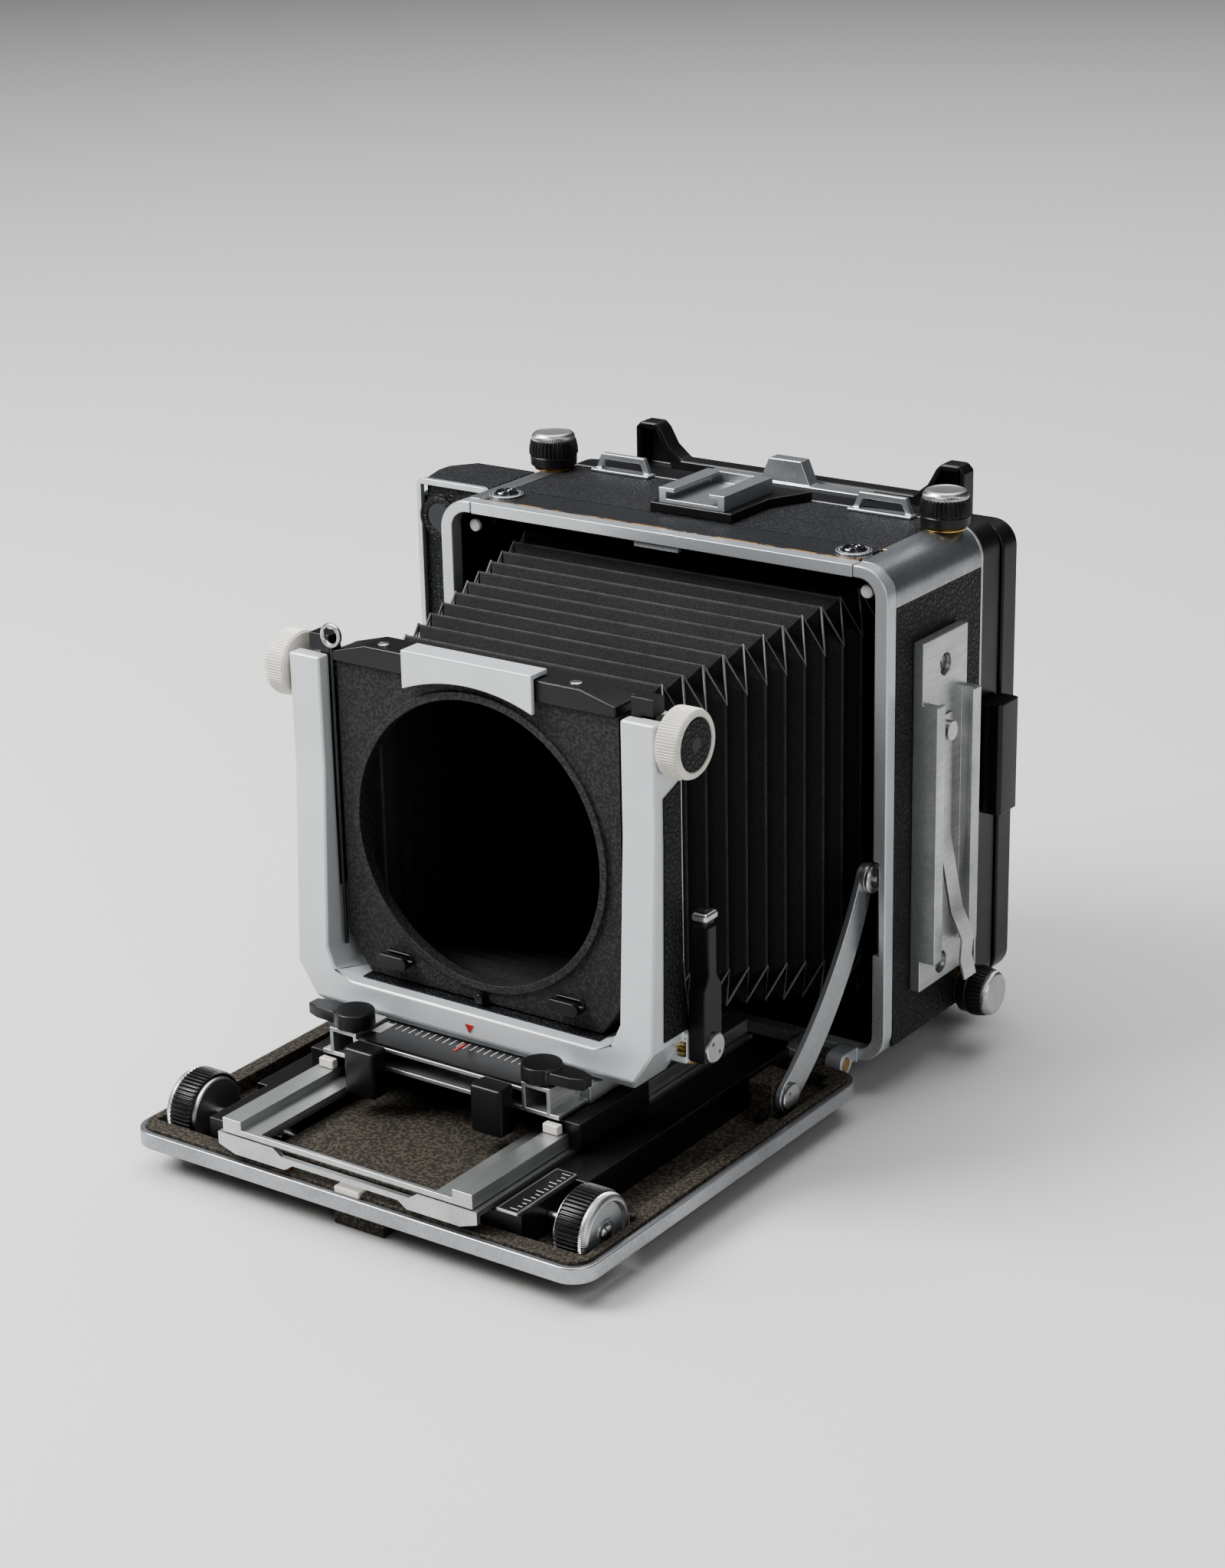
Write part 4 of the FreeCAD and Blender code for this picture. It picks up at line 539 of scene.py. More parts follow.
def black_inside(net, tone, shine):
    """Painted black within the housing's walls."""
    p = net.parts(net.coords())
    across = net.math("DIVIDE", net.math("ABSOLUTE", p["X"]), (HALF - 3.5) * MM)
    height = net.math("SUBTRACT", p["Z"], (BASE_H + H / 2) * MM)
    up = net.math("DIVIDE", net.math("ABSOLUTE", height), (H / 2 - 3.65) * MM)
    inside = net.math("LESS_THAN", net.math("MAXIMUM", across, up), 1.0)
    return net.mix(inside, tone, (0.008, 0.008, 0.008, 1)), shine


def glue_edges(net, tone, shine):
    """Old glue showing in places along the edges of the top coverings."""
    p = net.parts(net.coords())
    front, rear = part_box("flap_covering")[0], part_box("body_coverings")[1]
    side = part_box("flap_covering")[1][0]
    strip = 1.0 * MM
    along_side = net.ramp(net.math("ABSOLUTE", p["X"]), side - strip, side - strip * 0.6)
    along_front = net.ramp(p["Y"], front[1] + strip, front[1] + strip * 0.6)
    along_rear = net.ramp(p["Y"], rear[1] - strip * 1.6, rear[1] - strip)
    line = net.math("MAXIMUM", net.math("MAXIMUM", along_side, along_front), along_rear)
    patchy = net.ramp(net.noise(net.coords(), 90.0, 5.0, 0.75), 0.43, 0.52)
    top = net.math("GREATER_THAN", p["Z"], (BASE_H + H - 1.2) * MM)
    mask = net.math("MULTIPLY", net.math("MULTIPLY", line, patchy), top)
    return net.mix(mask, tone, (0.30, 0.17, 0.06, 1)), shine


def fold_highlight_and_shade(net, tone, shine):
    """Bellows: paler ridges, partly rubbed wear and partly a painted highlight, and valleys darkened as
    painted shade, from the piece's fold attribute.
    """
    fold = net.node("ShaderNodeAttribute", attribute_name="fold").outputs["Fac"]
    # painted highlight, partly rubbed wear: ridges turned paler towards (0.062, 0.060, 0.056)
    rubbed_and_highlit = net.ramp(fold, 0.84, 0.98, smooth=True)
    broken = net.ramp(net.noise(net.coords(), 160.0, 4.0, 0.7), 0.25, 0.6, 0.35, 1.0)
    tone = net.mix(net.math("MULTIPLY", rubbed_and_highlit, broken), tone, (0.062, 0.060, 0.056, 1))
    # painted shade: valleys darkened towards near black (0.003)
    painted_valley_shade = net.ramp(fold, 0.0, 0.6, 0.75, 0.0, smooth=True)
    return net.mix(painted_valley_shade, tone, (0.003, 0.003, 0.003, 1)), shine


def ticks(net, tone, shine):
    """White division marks on a black strip."""
    p = net.parts(net.coords())
    part = net.math("FRACT", net.math("DIVIDE", net.math("ADD", p["X"], 0.5), 2.5 * MM))
    mark = net.math("LESS_THAN", net.math("ABSOLUTE", net.math("SUBTRACT", part, 0.5)), 0.07)
    rear = net.math("GREATER_THAN", p["Y"], (-103.4 - SOCKET_Y) * MM)
    mask = net.math("MULTIPLY", mark, rear)
    return net.mix(mask, tone, (0.45, 0.45, 0.43, 1)), shine


def make_finishes(colours):
    for build in (group_grain, group_mottle, group_wrinkle, group_brushed, group_wear, group_dust):
        build()
    paint, band = tuple(colours.paint), tuple(colours.band)
    leather, black = tuple(colours.leather), tuple(colours.black)

    def darker(colour, share):
        return tuple(v * share for v in colour)

    finish("silver_paint", paint, darker(paint, 0.88), "paint_mottle", 1400, (0.38, 0.30), 0.008,
           metallic=0.25, dust=0.04, coat=0.2)
    finish("housing_paint", band, darker(band, 0.55), "paint_mottle", 850, (0.36, 0.26), 0.02,
           metallic=0.85, dust=0.05, over=black_inside)
    finish("rim_paint", darker(paint, 0.9), darker(paint, 0.74), "paint_mottle", 1200, (0.34, 0.26), 0.0015,
           metallic=0.6, dust=0.02)
    finish("bed_rim_paint", darker(band, 1.0), darker(band, 0.62), "paint_mottle", 850, (0.36, 0.26), 0.014,
           metallic=0.85, dust=0.04)
    finish("leather_side", leather, darker(leather, 0.35), "leather_grain", 620, (0.58, 0.38), 0.22,
           dust=0.03, specular=0.4)
    finish("leather_top", leather, darker(leather, 0.45), "leather_grain", 1050, (0.56, 0.40), 0.12,
           dust=0.02, specular=0.35, over=glue_edges)
    finish("black_paint", black, darker(black, 0.6), "paint_mottle", 1500, (0.40, 0.28), 0.01,
           wear=0.6, wear_colour=(0.14, 0.135, 0.13), dust=0.025, specular=0.4)
    wrinkle = tuple(colours.wrinkle)
    finish("wrinkle_paint", wrinkle, darker(wrinkle, 0.28), "paint_wrinkle", 1500,
           (0.55, 0.32), 0.12, wear=0.5, wear_colour=(0.25, 0.21, 0.16), dust=0.03, specular=0.3)
    finish("panel_paint", (0.030, 0.029, 0.027), (0.009, 0.009, 0.0085), "paint_wrinkle", 1700,
           (0.58, 0.42), 0.09, wear=0.4, wear_colour=(0.12, 0.12, 0.11), dust=0.03, specular=0.4)
    finish("chrome", (0.60, 0.60, 0.61), (0.42, 0.42, 0.43), "paint_mottle", 700, (0.42, 0.30), 0.003,
           metallic=1.0, dust=0.05)
    finish("satin_silver", darker(paint, 0.85), darker(paint, 0.6), "paint_mottle", 900,
           (0.36, 0.26), 0.006, metallic=0.85, wear=0.25, wear_colour=(0.22, 0.21, 0.20), dust=0.05)
    finish("steel", (0.56, 0.56, 0.56), (0.38, 0.38, 0.38), "brushed_lines", 1700, (0.36, 0.24), 0.006,
           metallic=1.0, dust=0.08)
    finish("aluminium", (0.58, 0.59, 0.59), (0.36, 0.37, 0.37), "brushed_lines", 1300, (0.42, 0.30), 0.012,
           metallic=0.9, wear=0.25, wear_colour=(0.20, 0.20, 0.19), dust=0.06)
    finish("brass", tuple(colours.brass), darker(tuple(colours.brass), 0.5), "brushed_lines", 1500,
           (0.40, 0.28), 0.006, metallic=1.0, dust=0.08)
    finish("ivory", tuple(colours.ivory), darker(tuple(colours.ivory), 0.72), "paint_mottle", 1000,
           (0.45, 0.34), 0.01, wear=0.25, wear_colour=(0.42, 0.36, 0.26), dust=0.04, coat=0.1)
    finish("rubber", (0.009, 0.009, 0.009), (0.004, 0.004, 0.004), "paint_mottle", 1600, (0.48, 0.34), 0.01,
           wear=0.4, wear_colour=(0.09, 0.09, 0.09), dust=0.02, specular=0.45)
    cloth = tuple(colours.bellows)
    # bellows cloth, with painted highlight on the ridges (partly rubbed wear) and painted shade in the
    # valleys
    finish("bellows_cloth", darker(cloth, 1.5), darker(cloth, 0.8), "leather_grain", 1700,
           (0.80, 0.66), 0.02, dust=0.02, specular=0.15, over=fold_highlight_and_shade)
    finish("bellows_seam", (0.17, 0.165, 0.155), (0.07, 0.067, 0.063), "paint_mottle", 400,
           (0.6, 0.5), 0.02)
    finish("grey_enamel", (0.30, 0.31, 0.32), (0.20, 0.21, 0.22), "paint_mottle", 1100, (0.38, 0.28), 0.01,
           metallic=0.6, dust=0.06)
    finish("phenolic", (0.30, 0.13, 0.04), (0.18, 0.07, 0.02), "brushed_lines", 900, (0.5, 0.4), 0.01)
    finish("red_enamel", (0.45, 0.03, 0.02), (0.30, 0.02, 0.015), "paint_mottle", 900, (0.4, 0.3), 0.004)
    finish("white_enamel", (0.66, 0.66, 0.63), (0.5, 0.5, 0.48), "paint_mottle", 900, (0.45, 0.35), 0.004)
    finish("ruler_black", black, darker(black, 0.6), "paint_mottle", 1300, (0.36, 0.26), 0.004,
           dust=0.06, over=ticks)
    finish("lens_glass", (0.008, 0.010, 0.018), (0.004, 0.005, 0.008), "paint_mottle", 40,
           (0.06, 0.03), dust=0.02)
    shader = finish("ground_screen", (0.66, 0.69, 0.68), (0.56, 0.59, 0.58), "paint_mottle", 2500,
                    (0.62, 0.5), 0.006, dust=0.05)
    shader.inputs["Transmission Weight"].default_value = 0.35


# material of each CAD node; those with a rounding are shown as a refined copy
FINISH = {
    "housing_shell": ("housing_paint", 0.25), "body_rims": ("rim_paint", 0.5),
    "body_coverings": ("leather_side", 0), "base_plate": ("black_paint", 0.5),
    "tripod_bushes": ("steel", 0.2), "rangefinder_housing": ("leather_side", 0.5),
    "rangefinder_frame": ("rim_paint", 0.3), "rangefinder_window": ("lens_glass", 0),
    "grip_rail": ("aluminium", 0.3), "grip_spring": ("steel", 0.1),
    "shoe_base": ("black_paint", 0.4), "accessory_shoe": ("satin_silver", 0.22),
    "strap_loops": ("satin_silver", 0.35), "bellows_rear_frame": ("black_paint", 0),
    "bed_hinge_pins": ("brass", 0.2), "top_flap": ("rim_paint", 0.2), "flap_covering": ("leather_top", 0),
    "bed_tray": ("wrinkle_paint", 0.3), "bed_rim": ("bed_rim_paint", 0.5),
    "track_guides": ("black_paint", 0.4),
    "focus_scale": ("aluminium", 0.1), "main_track": ("aluminium", 0), "upper_track": ("aluminium", 0.2),
    "focus_shaft": ("steel", 0), "carriage": ("black_paint", 0.3), "shift_rail": ("aluminium", 0.2),
    "ruler_strip": ("ruler_black", 0), "pinch_tab_left": ("black_paint", 0.8),
    "pinch_tab_right": ("black_paint", 0.8), "base_lever_left": ("black_paint", 0.5),
    "base_lever_right": ("black_paint", 0.5), "standard_frame": ("silver_paint", 0.9),
    "frame_inlays": ("leather_side", 0), "riser_bars": ("black_paint", 0.25),
    "lens_panel": ("panel_paint", 0.3), "panel_bridge": ("black_paint", 0.6),
    "board_hooks": ("black_paint", 0.35), "board_lock": ("silver_paint", 0.35),
    "rise_lever": ("black_paint", 0.5), "back_frame": ("black_paint", 0.6), "back_rods": ("black_paint", 0),
    "back_latch": ("black_paint", 0.3), "revolving_back": ("black_paint", 0.8),
    "ground_glass_frame": ("black_paint", 0.8), "ground_glass": ("ground_screen", 0),
    "hood_lid": ("leather_side", 0.8), "slide_lock_top": ("satin_silver", 0.35),
    "slide_lock_bottom": ("satin_silver", 0.35), "strut_left": ("satin_silver", 0.3),
    "strut_right": ("satin_silver", 0.3),
}


class OBJECT_OT_camera_metalwork(bpy.types.Operator):
    """Finishes of the CAD nodes, with rounded edges on what is machined or cast"""
    bl_idname = "object.field_camera_metalwork"
    bl_label = "Housing, bed and standards"

    def execute(self, context):
        make_finishes(context.scene.field_camera_colours)
        for node, (material, rounding) in FINISH.items():
            if rounding:
                obj = refined(node, rounding * MM)
                dress(obj, material, BODY_OF[node], [node])
            else:
                obj = NODES[node]
                obj.data.materials.clear()
                obj.data.materials.append(finish_called(material))
        return {"FINISHED"}


# ---------------- bellows ----------------

# y, half width, middle height, half height of each end, in millimetres
BELLOWS_FRONT = (-79.7, 47.0, 84.75, 47.0)
BELLOWS_REAR = (33.7, 69.0, 78.25, 67.75)
FLANGE_W, FLANGE_H = 2.2, 0.8    # the front end's flat edge stands out by this much
# joints the bellows crosses, from the front: bodies on each side and pleats given to it
BELLOWS_CHAIN = (("panel", "riser", 1), ("riser", "standard", 2), ("standard", "swing", 1),
                 ("swing", "carriage", 1), ("carriage", "upper_track", 3),
                 ("upper_track", "main_track", 2), ("main_track", "bed", 2), ("bed", "body", 2))
# places in a ring: each corner's points by the top and by the side, and all that lie on top or underneath
BY_TOP = (0, 4, 6, 10)
BY_SIDE = (1, 3, 7, 9)
FLAT_PLACES = (0, 4, 5, 6, 10, 11)
FOLD_STEP = Vector((0, MM, 0))   # first move of an extruded ring, before its points are set


def bellows_ring(t, ridge_on_top, depth):
    """Corner points of the section at share t of the length, on one fold line."""
    y, w, mid, h = (a + (b - a) * t for a, b in zip(BELLOWS_FRONT, BELLOWS_REAR))
    a = depth / MM / 2
    if t == 0:
        w, h, a = w + FLANGE_W, h + FLANGE_H, 0.0
    w, h = w - a, h - a
    if ridge_on_top:
        corner = [(w - 2.2, h + a), (w - a, h - 6.0)]
    else:
        corner = [(w - 5.5, h - a), (w + a, h - 10.5)]
    side = (w - a) if ridge_on_top else (w + a)
    top = (h + a) if ridge_on_top else (h - a)
    points = []
    for sx, sz, order in ((1, 1, 1), (1, -1, -1), (-1, -1, 1), (-1, 1, -1)):
        for cx, cz in corner[::order]:
            points.append(at(sx * cx, y, mid + sz * cz))
        if sx == 1 and sz == 1:
            points.append(at(side, y, mid))
        elif sx == 1:
            points.append(at(0, y, mid - top))
        elif sz == -1:
            points.append(at(-side, y, mid))
        else:
            points.append(at(0, y, mid + top))
    return points


def bellows_part(index, first, folds, total, sizes):
    """A few pleats of the bellows, folded along ridges, with its corner seams."""
    plain()
    ring = bellows_ring(first / total, first % 2 == 0, sizes.pleat_depth)
    bpy.ops.mesh.primitive_circle_add(vertices=len(ring), radius=0.1, fill_type="NOTHING")
    obj = take("bellows_part_%d" % index)
    edit(obj)
    mesh = bmesh.from_edit_mesh(obj.data)
    for vert, point in zip(mesh.verts, ring):
        vert.co = point
    bmesh.update_edit_mesh(obj.data)
    rings = [ring]
    bpy.ops.mesh.select_all(action="SELECT")
    for step in range(1, folds + 1):
        line = first + step
        bpy.ops.mesh.extrude_edges_move(TRANSFORM_OT_translate={"value": FOLD_STEP})
        ring = bellows_ring(line / total, line % 2 == 0, sizes.pleat_depth)
        rings.append(ring)
        mesh = bmesh.from_edit_mesh(obj.data)
        moved = [v for v in mesh.verts if v.select]
        old = rings[-2]
        for vert in moved:
            near = min(range(len(old)), key=lambda i: (vert.co - FOLD_STEP - old[i]).length)
            vert.co = ring[near]
        bmesh.update_edit_mesh(obj.data)
    bpy.ops.mesh.select_all(action="SELECT")
    bpy.ops.mesh.quads_convert_to_tris(quad_method="SHORTEST_DIAGONAL")
    bpy.ops.mesh.normals_make_consistent(inside=False)
    plain()
    seams = []
    for top, side in zip(BY_TOP, BY_SIDE):
        path = [rings[i][top if (first + i) % 2 == 0 else side] for i in range(len(rings))]
        curve = bpy.data.curves.new("seam", "CURVE")
        curve.dimensions = "3D"
        curve.bevel_depth = sizes.seam
        curve.bevel_resolution = 1
        line = curve.splines.new("POLY")
        line.points.add(len(path) - 1)
        for spot, point in zip(line.points, path):
            spot.co = (*point, 1)
        seam = bpy.data.objects.new("seam", curve)
        bpy.context.scene.collection.objects.link(seam)
        only(seam)
        bpy.ops.object.convert(target="MESH")
        seams.append(bpy.context.object)
    # fold: 1 on ridges, 0 in valleys; the bellows finish reads it for its painted highlight on ridges and
    # painted shade in valleys
    fold = obj.data.attributes.new("fold", "FLOAT", "POINT")
    lines = [(p, (first + i) % 2 == 0) for i, points in enumerate(rings) for p in enumerate(points)]
    for vert in obj.data.vertices:
        (slot, _), even = min(((p, e) for p, e in lines), key=lambda item: (item[0][1] - vert.co).length)
        on_top = slot in FLAT_PLACES
        fold.data[vert.index].value = 1.0 if on_top == even else 0.0
    cloth = obj.modifiers.new("cloth", "SOLIDIFY")
    cloth.thickness = sizes.cloth
    cloth.offset = -1.0
    cloth.use_rim = True
    apply(obj, cloth)
    for seam in seams:
        seam.data.materials.append(finish_called("bellows_seam"))
    obj.data.materials.append(finish_called("bellows_cloth"))
    return joined("bellows_part_%d" % index, [obj] + seams)


class OBJECT_OT_camera_bellows(bpy.types.Operator):
    """Folded bellows, in one part of a few pleats for each joint of the camera that it crosses"""
    bl_idname = "object.field_camera_bellows"
    bl_label = "Bellows"

    def execute(self, context):
        sizes = context.scene.field_camera_sizes
        total = 2 * sum(pleats for _, _, pleats in BELLOWS_CHAIN)
        first = 0
        for index, (front, rear, pleats) in enumerate(BELLOWS_CHAIN, 1):
            folds = 2 * pleats
            part = bellows_part(index, first, folds, total, sizes)
            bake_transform(part)
            if index == 1:
                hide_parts("bellows")
            first += folds
        return {"FINISHED"}


# ---------------- knobs ----------------

FOCUS_KNOB_IN = 64.5     # inner face of a focusing knob, from the middle


class OBJECT_OT_camera_knobs(bpy.types.Operator):
    """Lock knobs, tilt knobs and focusing knobs"""
    bl_idname = "object.field_camera_knobs"
    bl_label = "Knobs"

    def lock_knobs(self, sizes):
        ribs = sizes.knob_ribs
        barrel = turned("lock_barrel", [(5.4, 1.2), (7.1, 1.2), (7.5, 1.6), (7.6, 4.2), (7.4, 4.5),
                                        (7.5, 4.7), (8.0, 5.1), (7.9, 7.0), (7.4, 9.4), (7.1, 9.6),
                                        (5, 9.6)], ribs * 4)
        ribbed(barrel, 4.9, 9.5, ribs, 0.45)
        soften(barrel, 0)
        cap = turned("lock_cap", [(5.5, 9.4), (6.9, 9.5), (7.1, 9.8), (7.0, 10.6), (6.75, 11.2),
                                  (6.2, 11.75), (5.4, 12.0), (5.0, 11.85), (4.0, 11.75), (1.0, 11.7)],
                     ribs * 4)
        ribbed(cap, 9.7, 11.3, ribs * 2, 0.2)
        soften(cap, 0)
        ring = turned("lock_ring", [(5.6, 0.0), (6.3, 0.1), (6.3, 0.5), (5.7, 0.7), (5.7, 1.25),
                                    (4, 1.25)], 64)
        soften(ring, 0)
        for hand, side in SIDES:
            for kind, axis in (("top", Z), ("side", X * side)):
                body = "%s_knob_%s" % (kind, hand)
                point = PIVOT[body + "_turn"]
                dress(placed(copy_of(barrel, body + "_barrel"), point, axis), "rubber", body,
                      [body])
                dress(placed(copy_of(cap, body + "_cap"), point, axis), "chrome", body)
                dress(placed(copy_of(ring, body + "_collar"), point, axis), "brass", "body")
        for spare in (barrel, cap, ring):
            bpy.data.objects.remove(spare)

    def tilt_knobs(self):
        rim = turned("tilt_rim", [(7.6, 0.0), (9.3, 0.1), (9.9, 0.7), (10.0, 1.2), (10.0, 6.2), (9.7, 7.0),
                                  (9.1, 7.6), (8.4, 7.8), (7.9, 7.6), (7.7, 7.0), (6.0, 6.9)], 288)
        ribbed(rim, 1.0, 6.4, 72, 0.35)
        soften(rim, 0)
        disc = turned("tilt_disc", [(7.6, 6.7), (7.6, 7.2), (7.3, 7.45)], 64)
        soften(disc, 0)
        for hand, side in SIDES:
            body = "tilt_knob_" + hand
            point, axis = PIVOT[body + "_turn"], X * side
            dress(placed(copy_of(rim, body + "_rim"), point, axis), "ivory", body, [body])
            dress(placed(copy_of(disc, body + "_disc"), point, axis), "leather_side", body)
        for spare in (rim, disc):
            bpy.data.objects.remove(spare)

    def focus_knobs(self, sizes):
        ribs = sizes.tyre_ribs
        tyre = turned("focus_tyre", [(9.0, 1.2), (11.2, 1.2), (11.7, 1.6), (11.8, 2.0), (11.8, 8.2),
                                     (11.6, 8.7), (11.0, 9.0), (9.0, 9.0)], ribs * 4)
        ribbed(tyre, 1.3, 8.9, ribs, 0.7)
        soften(tyre, 0)
        rim = turned("focus_rim", [(10.0, 8.6), (10.9, 8.8), (11.1, 9.2), (11.1, 10.0), (10.8, 10.6),
                                   (10.0, 11.2), (9.2, 11.4), (8.8, 11.0), (8.6, 10.2), (7.0, 10.2)],
                     ribs * 8)
        ribbed(rim, 8.9, 10.7, ribs * 2, 0.2)
        soften(rim, 0)
        back = turned("focus_back", [(6.0, 0.0), (9.8, 0.0), (10.2, 0.3), (10.4, 1.3), (8.0, 1.3)], 64)
        soften(back, 0)
        disc = turned("focus_disc", [(8.3, 9.9), (8.3, 10.45), (7.8, 10.6), (4.2, 10.6), (3.9, 10.9),
                                     (3.6, 10.9), (3.4, 10.5), (1.0, 10.5)], 64)
        soften(disc, 0)
        screw = slotted_screw("focus_screw", 2.6, 1.1)
        for hand, side in SIDES:
            point, axis = beside("focus_turn", side, FOCUS_KNOB_IN), X * side
            name = "focus_knob_" + hand
            stands = ["focus_knobs"] if side > 0 else []
            dress(placed(copy_of(tyre, name + "_tyre"), point, axis), "rubber", "focus_drive",
                  stands)
            dress(placed(copy_of(rim, name + "_rim"), point, axis), "chrome", "focus_drive")
            dress(placed(copy_of(back, name + "_back"), point, axis), "chrome", "focus_drive")
            dress(placed(copy_of(disc, name + "_disc"), point, axis), "grey_enamel", "focus_drive")
            top = point + axis * 10.45 * MM
            dress(placed(copy_of(screw, name + "_screw"), top, axis, 0.5), "steel", "focus_drive")
        for spare in (tyre, rim, back, disc, screw):
            bpy.data.objects.remove(spare)

    def execute(self, context):
        sizes = context.scene.field_camera_sizes
        self.lock_knobs(sizes)
        self.tilt_knobs()
        self.focus_knobs(sizes)
        return {"FINISHED"}


# ---------------- screws, rivets and small fittings ----------------

def slotted_screw(name, radius, height):
    """Domed screw head about +Z, standing on z = 0, with a straight slot."""
    head = turned(name, [(radius * 0.9, -0.2), (radius, 0.05), (radius, height * 0.55),
                         (radius * 0.88, height * 0.85), (radius * 0.55, height),
                         (radius * 0.1, height)], 32)
    plain()
    bpy.ops.mesh.primitive_cube_add(size=1, location=(0, 0, height * MM))
    slot = take("slot")
    slot.scale = (radius * 3 * MM, radius * 0.26 * MM, height * 0.9 * MM)
    settle(slot)
    cut(head, slot)
    return soften(head, 0)


def spanner_screw(name, radius, height):
    """Flat disc head about +Z with two holes for a pin spanner."""
    head = turned(name, [(radius * 0.92, -0.2), (radius, 0.1), (radius, height * 0.7),
                         (radius * 0.9, height), (radius * 0.1, height)], 48)
    for side in (-1, 1):
        plain()
        bpy.ops.mesh.primitive_cylinder_add(vertices=20, radius=radius * 0.13 * MM,
                                            depth=height * 1.2 * MM,
                                            location=(side * radius * 0.5 * MM, 0, height * MM))
        cut(head, settle(take("hole")))
    return soften(head, 0)


class OBJECT_OT_camera_fittings(bpy.types.Operator):
    """Screws, rivets, button rings, ring strip and other small fittings"""
    bl_idname = "object.field_camera_fittings"
    bl_label = "Small fittings"

    def scatter(self, master, places, name, material, slot):
        for index, (point, axis, body, spin) in enumerate(places, 1):
            piece = placed(copy_of(master, "%s_%d" % (name, index)), point, axis, spin)
            dress(piece, material, body)
        bpy.data.objects.remove(master)

    def screws(self):
        rail = slotted_screw("rail_screw", 3.2, 1.2)
        self.scatter(rail, [(at(HALF + 0.6, 28.25, 25.5), X, "body", 1.9),
                            (at(HALF + 0.6, 28.25, 121.5), X, "body", 0.4)],
                     "rail_screw", "steel", "steel")
        small = slotted_screw("bridge_screw", 1.8, 0.5)
        self.scatter(small, [(at(s * 34, -88.2, 139.25), Z, "panel", s * 0.4 + 0.3) for s in (-1, 1)],
                     "bridge_screw", "steel", "steel")
        rivet = turned("rivet", [(2.0, -0.3), (2.1, 0.3), (1.9, 0.8), (1.3, 1.1), (0.2, 1.15)], 32)
        soften(rivet, 0)
        self.scatter(rivet, [(at(s * 71.5, 5.4, 147.6), -Y, "body", 0.0) for s in (-1, 1)],
                     "rim_rivet", "white_enamel", "satin_silver")
        pivot = spanner_screw("strut_pivot", 4.4, 1.1)
        self.scatter(pivot, [(beside("strut_%s_turn" % h, s, 2.0), X * s, "strut_" + h, 0.7)
                             for h, s in SIDES],
                     "strut_pivot", "steel", "steel")
        disc = turned("strut_head", [(4.2, -0.2), (4.6, 0.1), (4.6, 0.9), (4.2, 1.3), (3.0, 1.4),
                                     (2.6, 1.1), (0.3, 1.1)], 48)
        soften(disc, 0)
        self.scatter(disc, [(at(s * 76.3, 0.8, 60.5), X * s, "strut_" + h, 0.0) for h, s in SIDES],
                     "strut_head", "steel", "steel")
        nut = turned("bracket_nut", [(3.6, 0.0), (3.8, 0.2), (3.8, 1.8), (3.5, 2.2), (0.5, 2.2)], 32)
        soften(nut, 0)
        self.scatter(nut, [(beside("strut_%s_turn" % h, s, -7.8), X * -s, "bed", 0.0) for h, s in SIDES],
                     "bracket_nut", "brass", "steel")

    def buttons(self):
        ring = turned("button_ring", [(5.3, 0.0), (5.4, 0.3), (5.4, 0.9), (5.1, 1.2), (4.7, 1.2),
                                      (4.5, 0.8), (4.3, 0.8), (4.1, 1.25), (3.7, 1.25), (3.62, 0.6)], 64)
        soften(ring, 0)
        cap = turned("button_cap", [(3.4, -3.0), (3.45, 1.6), (3.2, 2.0), (2.6, 2.0), (2.4, 1.6),
                                    (2.1, 1.6), (1.9, 2.0), (1.3, 2.0), (1.1, 1.7), (0.2, 1.7)], 64)
        soften(cap, 0)
        for hand, _ in SIDES:
            point = PIVOT["button_%s_press" % hand]
            dress(placed(copy_of(ring, "button_ring_" + hand), point), "dark_chrome", "flap")
            dress(placed(copy_of(cap, "button_cap_" + hand), point), "dark_chrome", "button_" + hand,
                  ["release_button_" + hand])
        for spare in (ring, cap):
            bpy.data.objects.remove(spare)

    def ring_strip(self):
        """Release strip along the panel's right edge, ending in a finger ring."""
        bar = block("ring_strip", at(-51.2, -92.0, 44), at(-50.2, -91.2, 137.4), 0.15 * MM)
        dress(bar, "black_paint", "panel")
        plain()
        bpy.ops.mesh.primitive_torus_add(major_radius=3.1 * MM, minor_radius=0.7 * MM, major_segments=48,
                                         minor_segments=12, rotation=(math.pi / 2, 0, 0))
        loop = take("finger_ring")
        loop.scale.z = 1.25
        settle(loop)
        soften(loop, 0)
        dress(placed(loop, at(-50.7, -91.6, 140.2)), "chrome", "panel")

    def lever_dress(self):
        """Chrome tip, ratchet wheel and pivot screw of the rise lever."""
        tip = block("rise_lever_tip", at(66.2, -81.2, 73.0), at(71.4, -74.6, 75.6), 0.9 * MM)
        dress(tip, "chrome", "rise_lever")
        wheel = turned("ratchet", [(4.0, 0.0), (6.3, 0.0), (6.3, 2.6), (4.0, 2.6)], 28 * 4)
        ribbed(wheel, -0.1, 2.7, 28, 0.7)
        soften(wheel, 0)
        dress(placed(wheel, beside("rise_lever_turn", 1, -5.8), X), "brass", "standard")
        disc = spanner_screw("rise_lever_screw", 4.5, 1.0)
        dress(placed(disc, beside("rise_lever_turn", 1, 2.7), X, 0.8), "steel", "rise_lever")

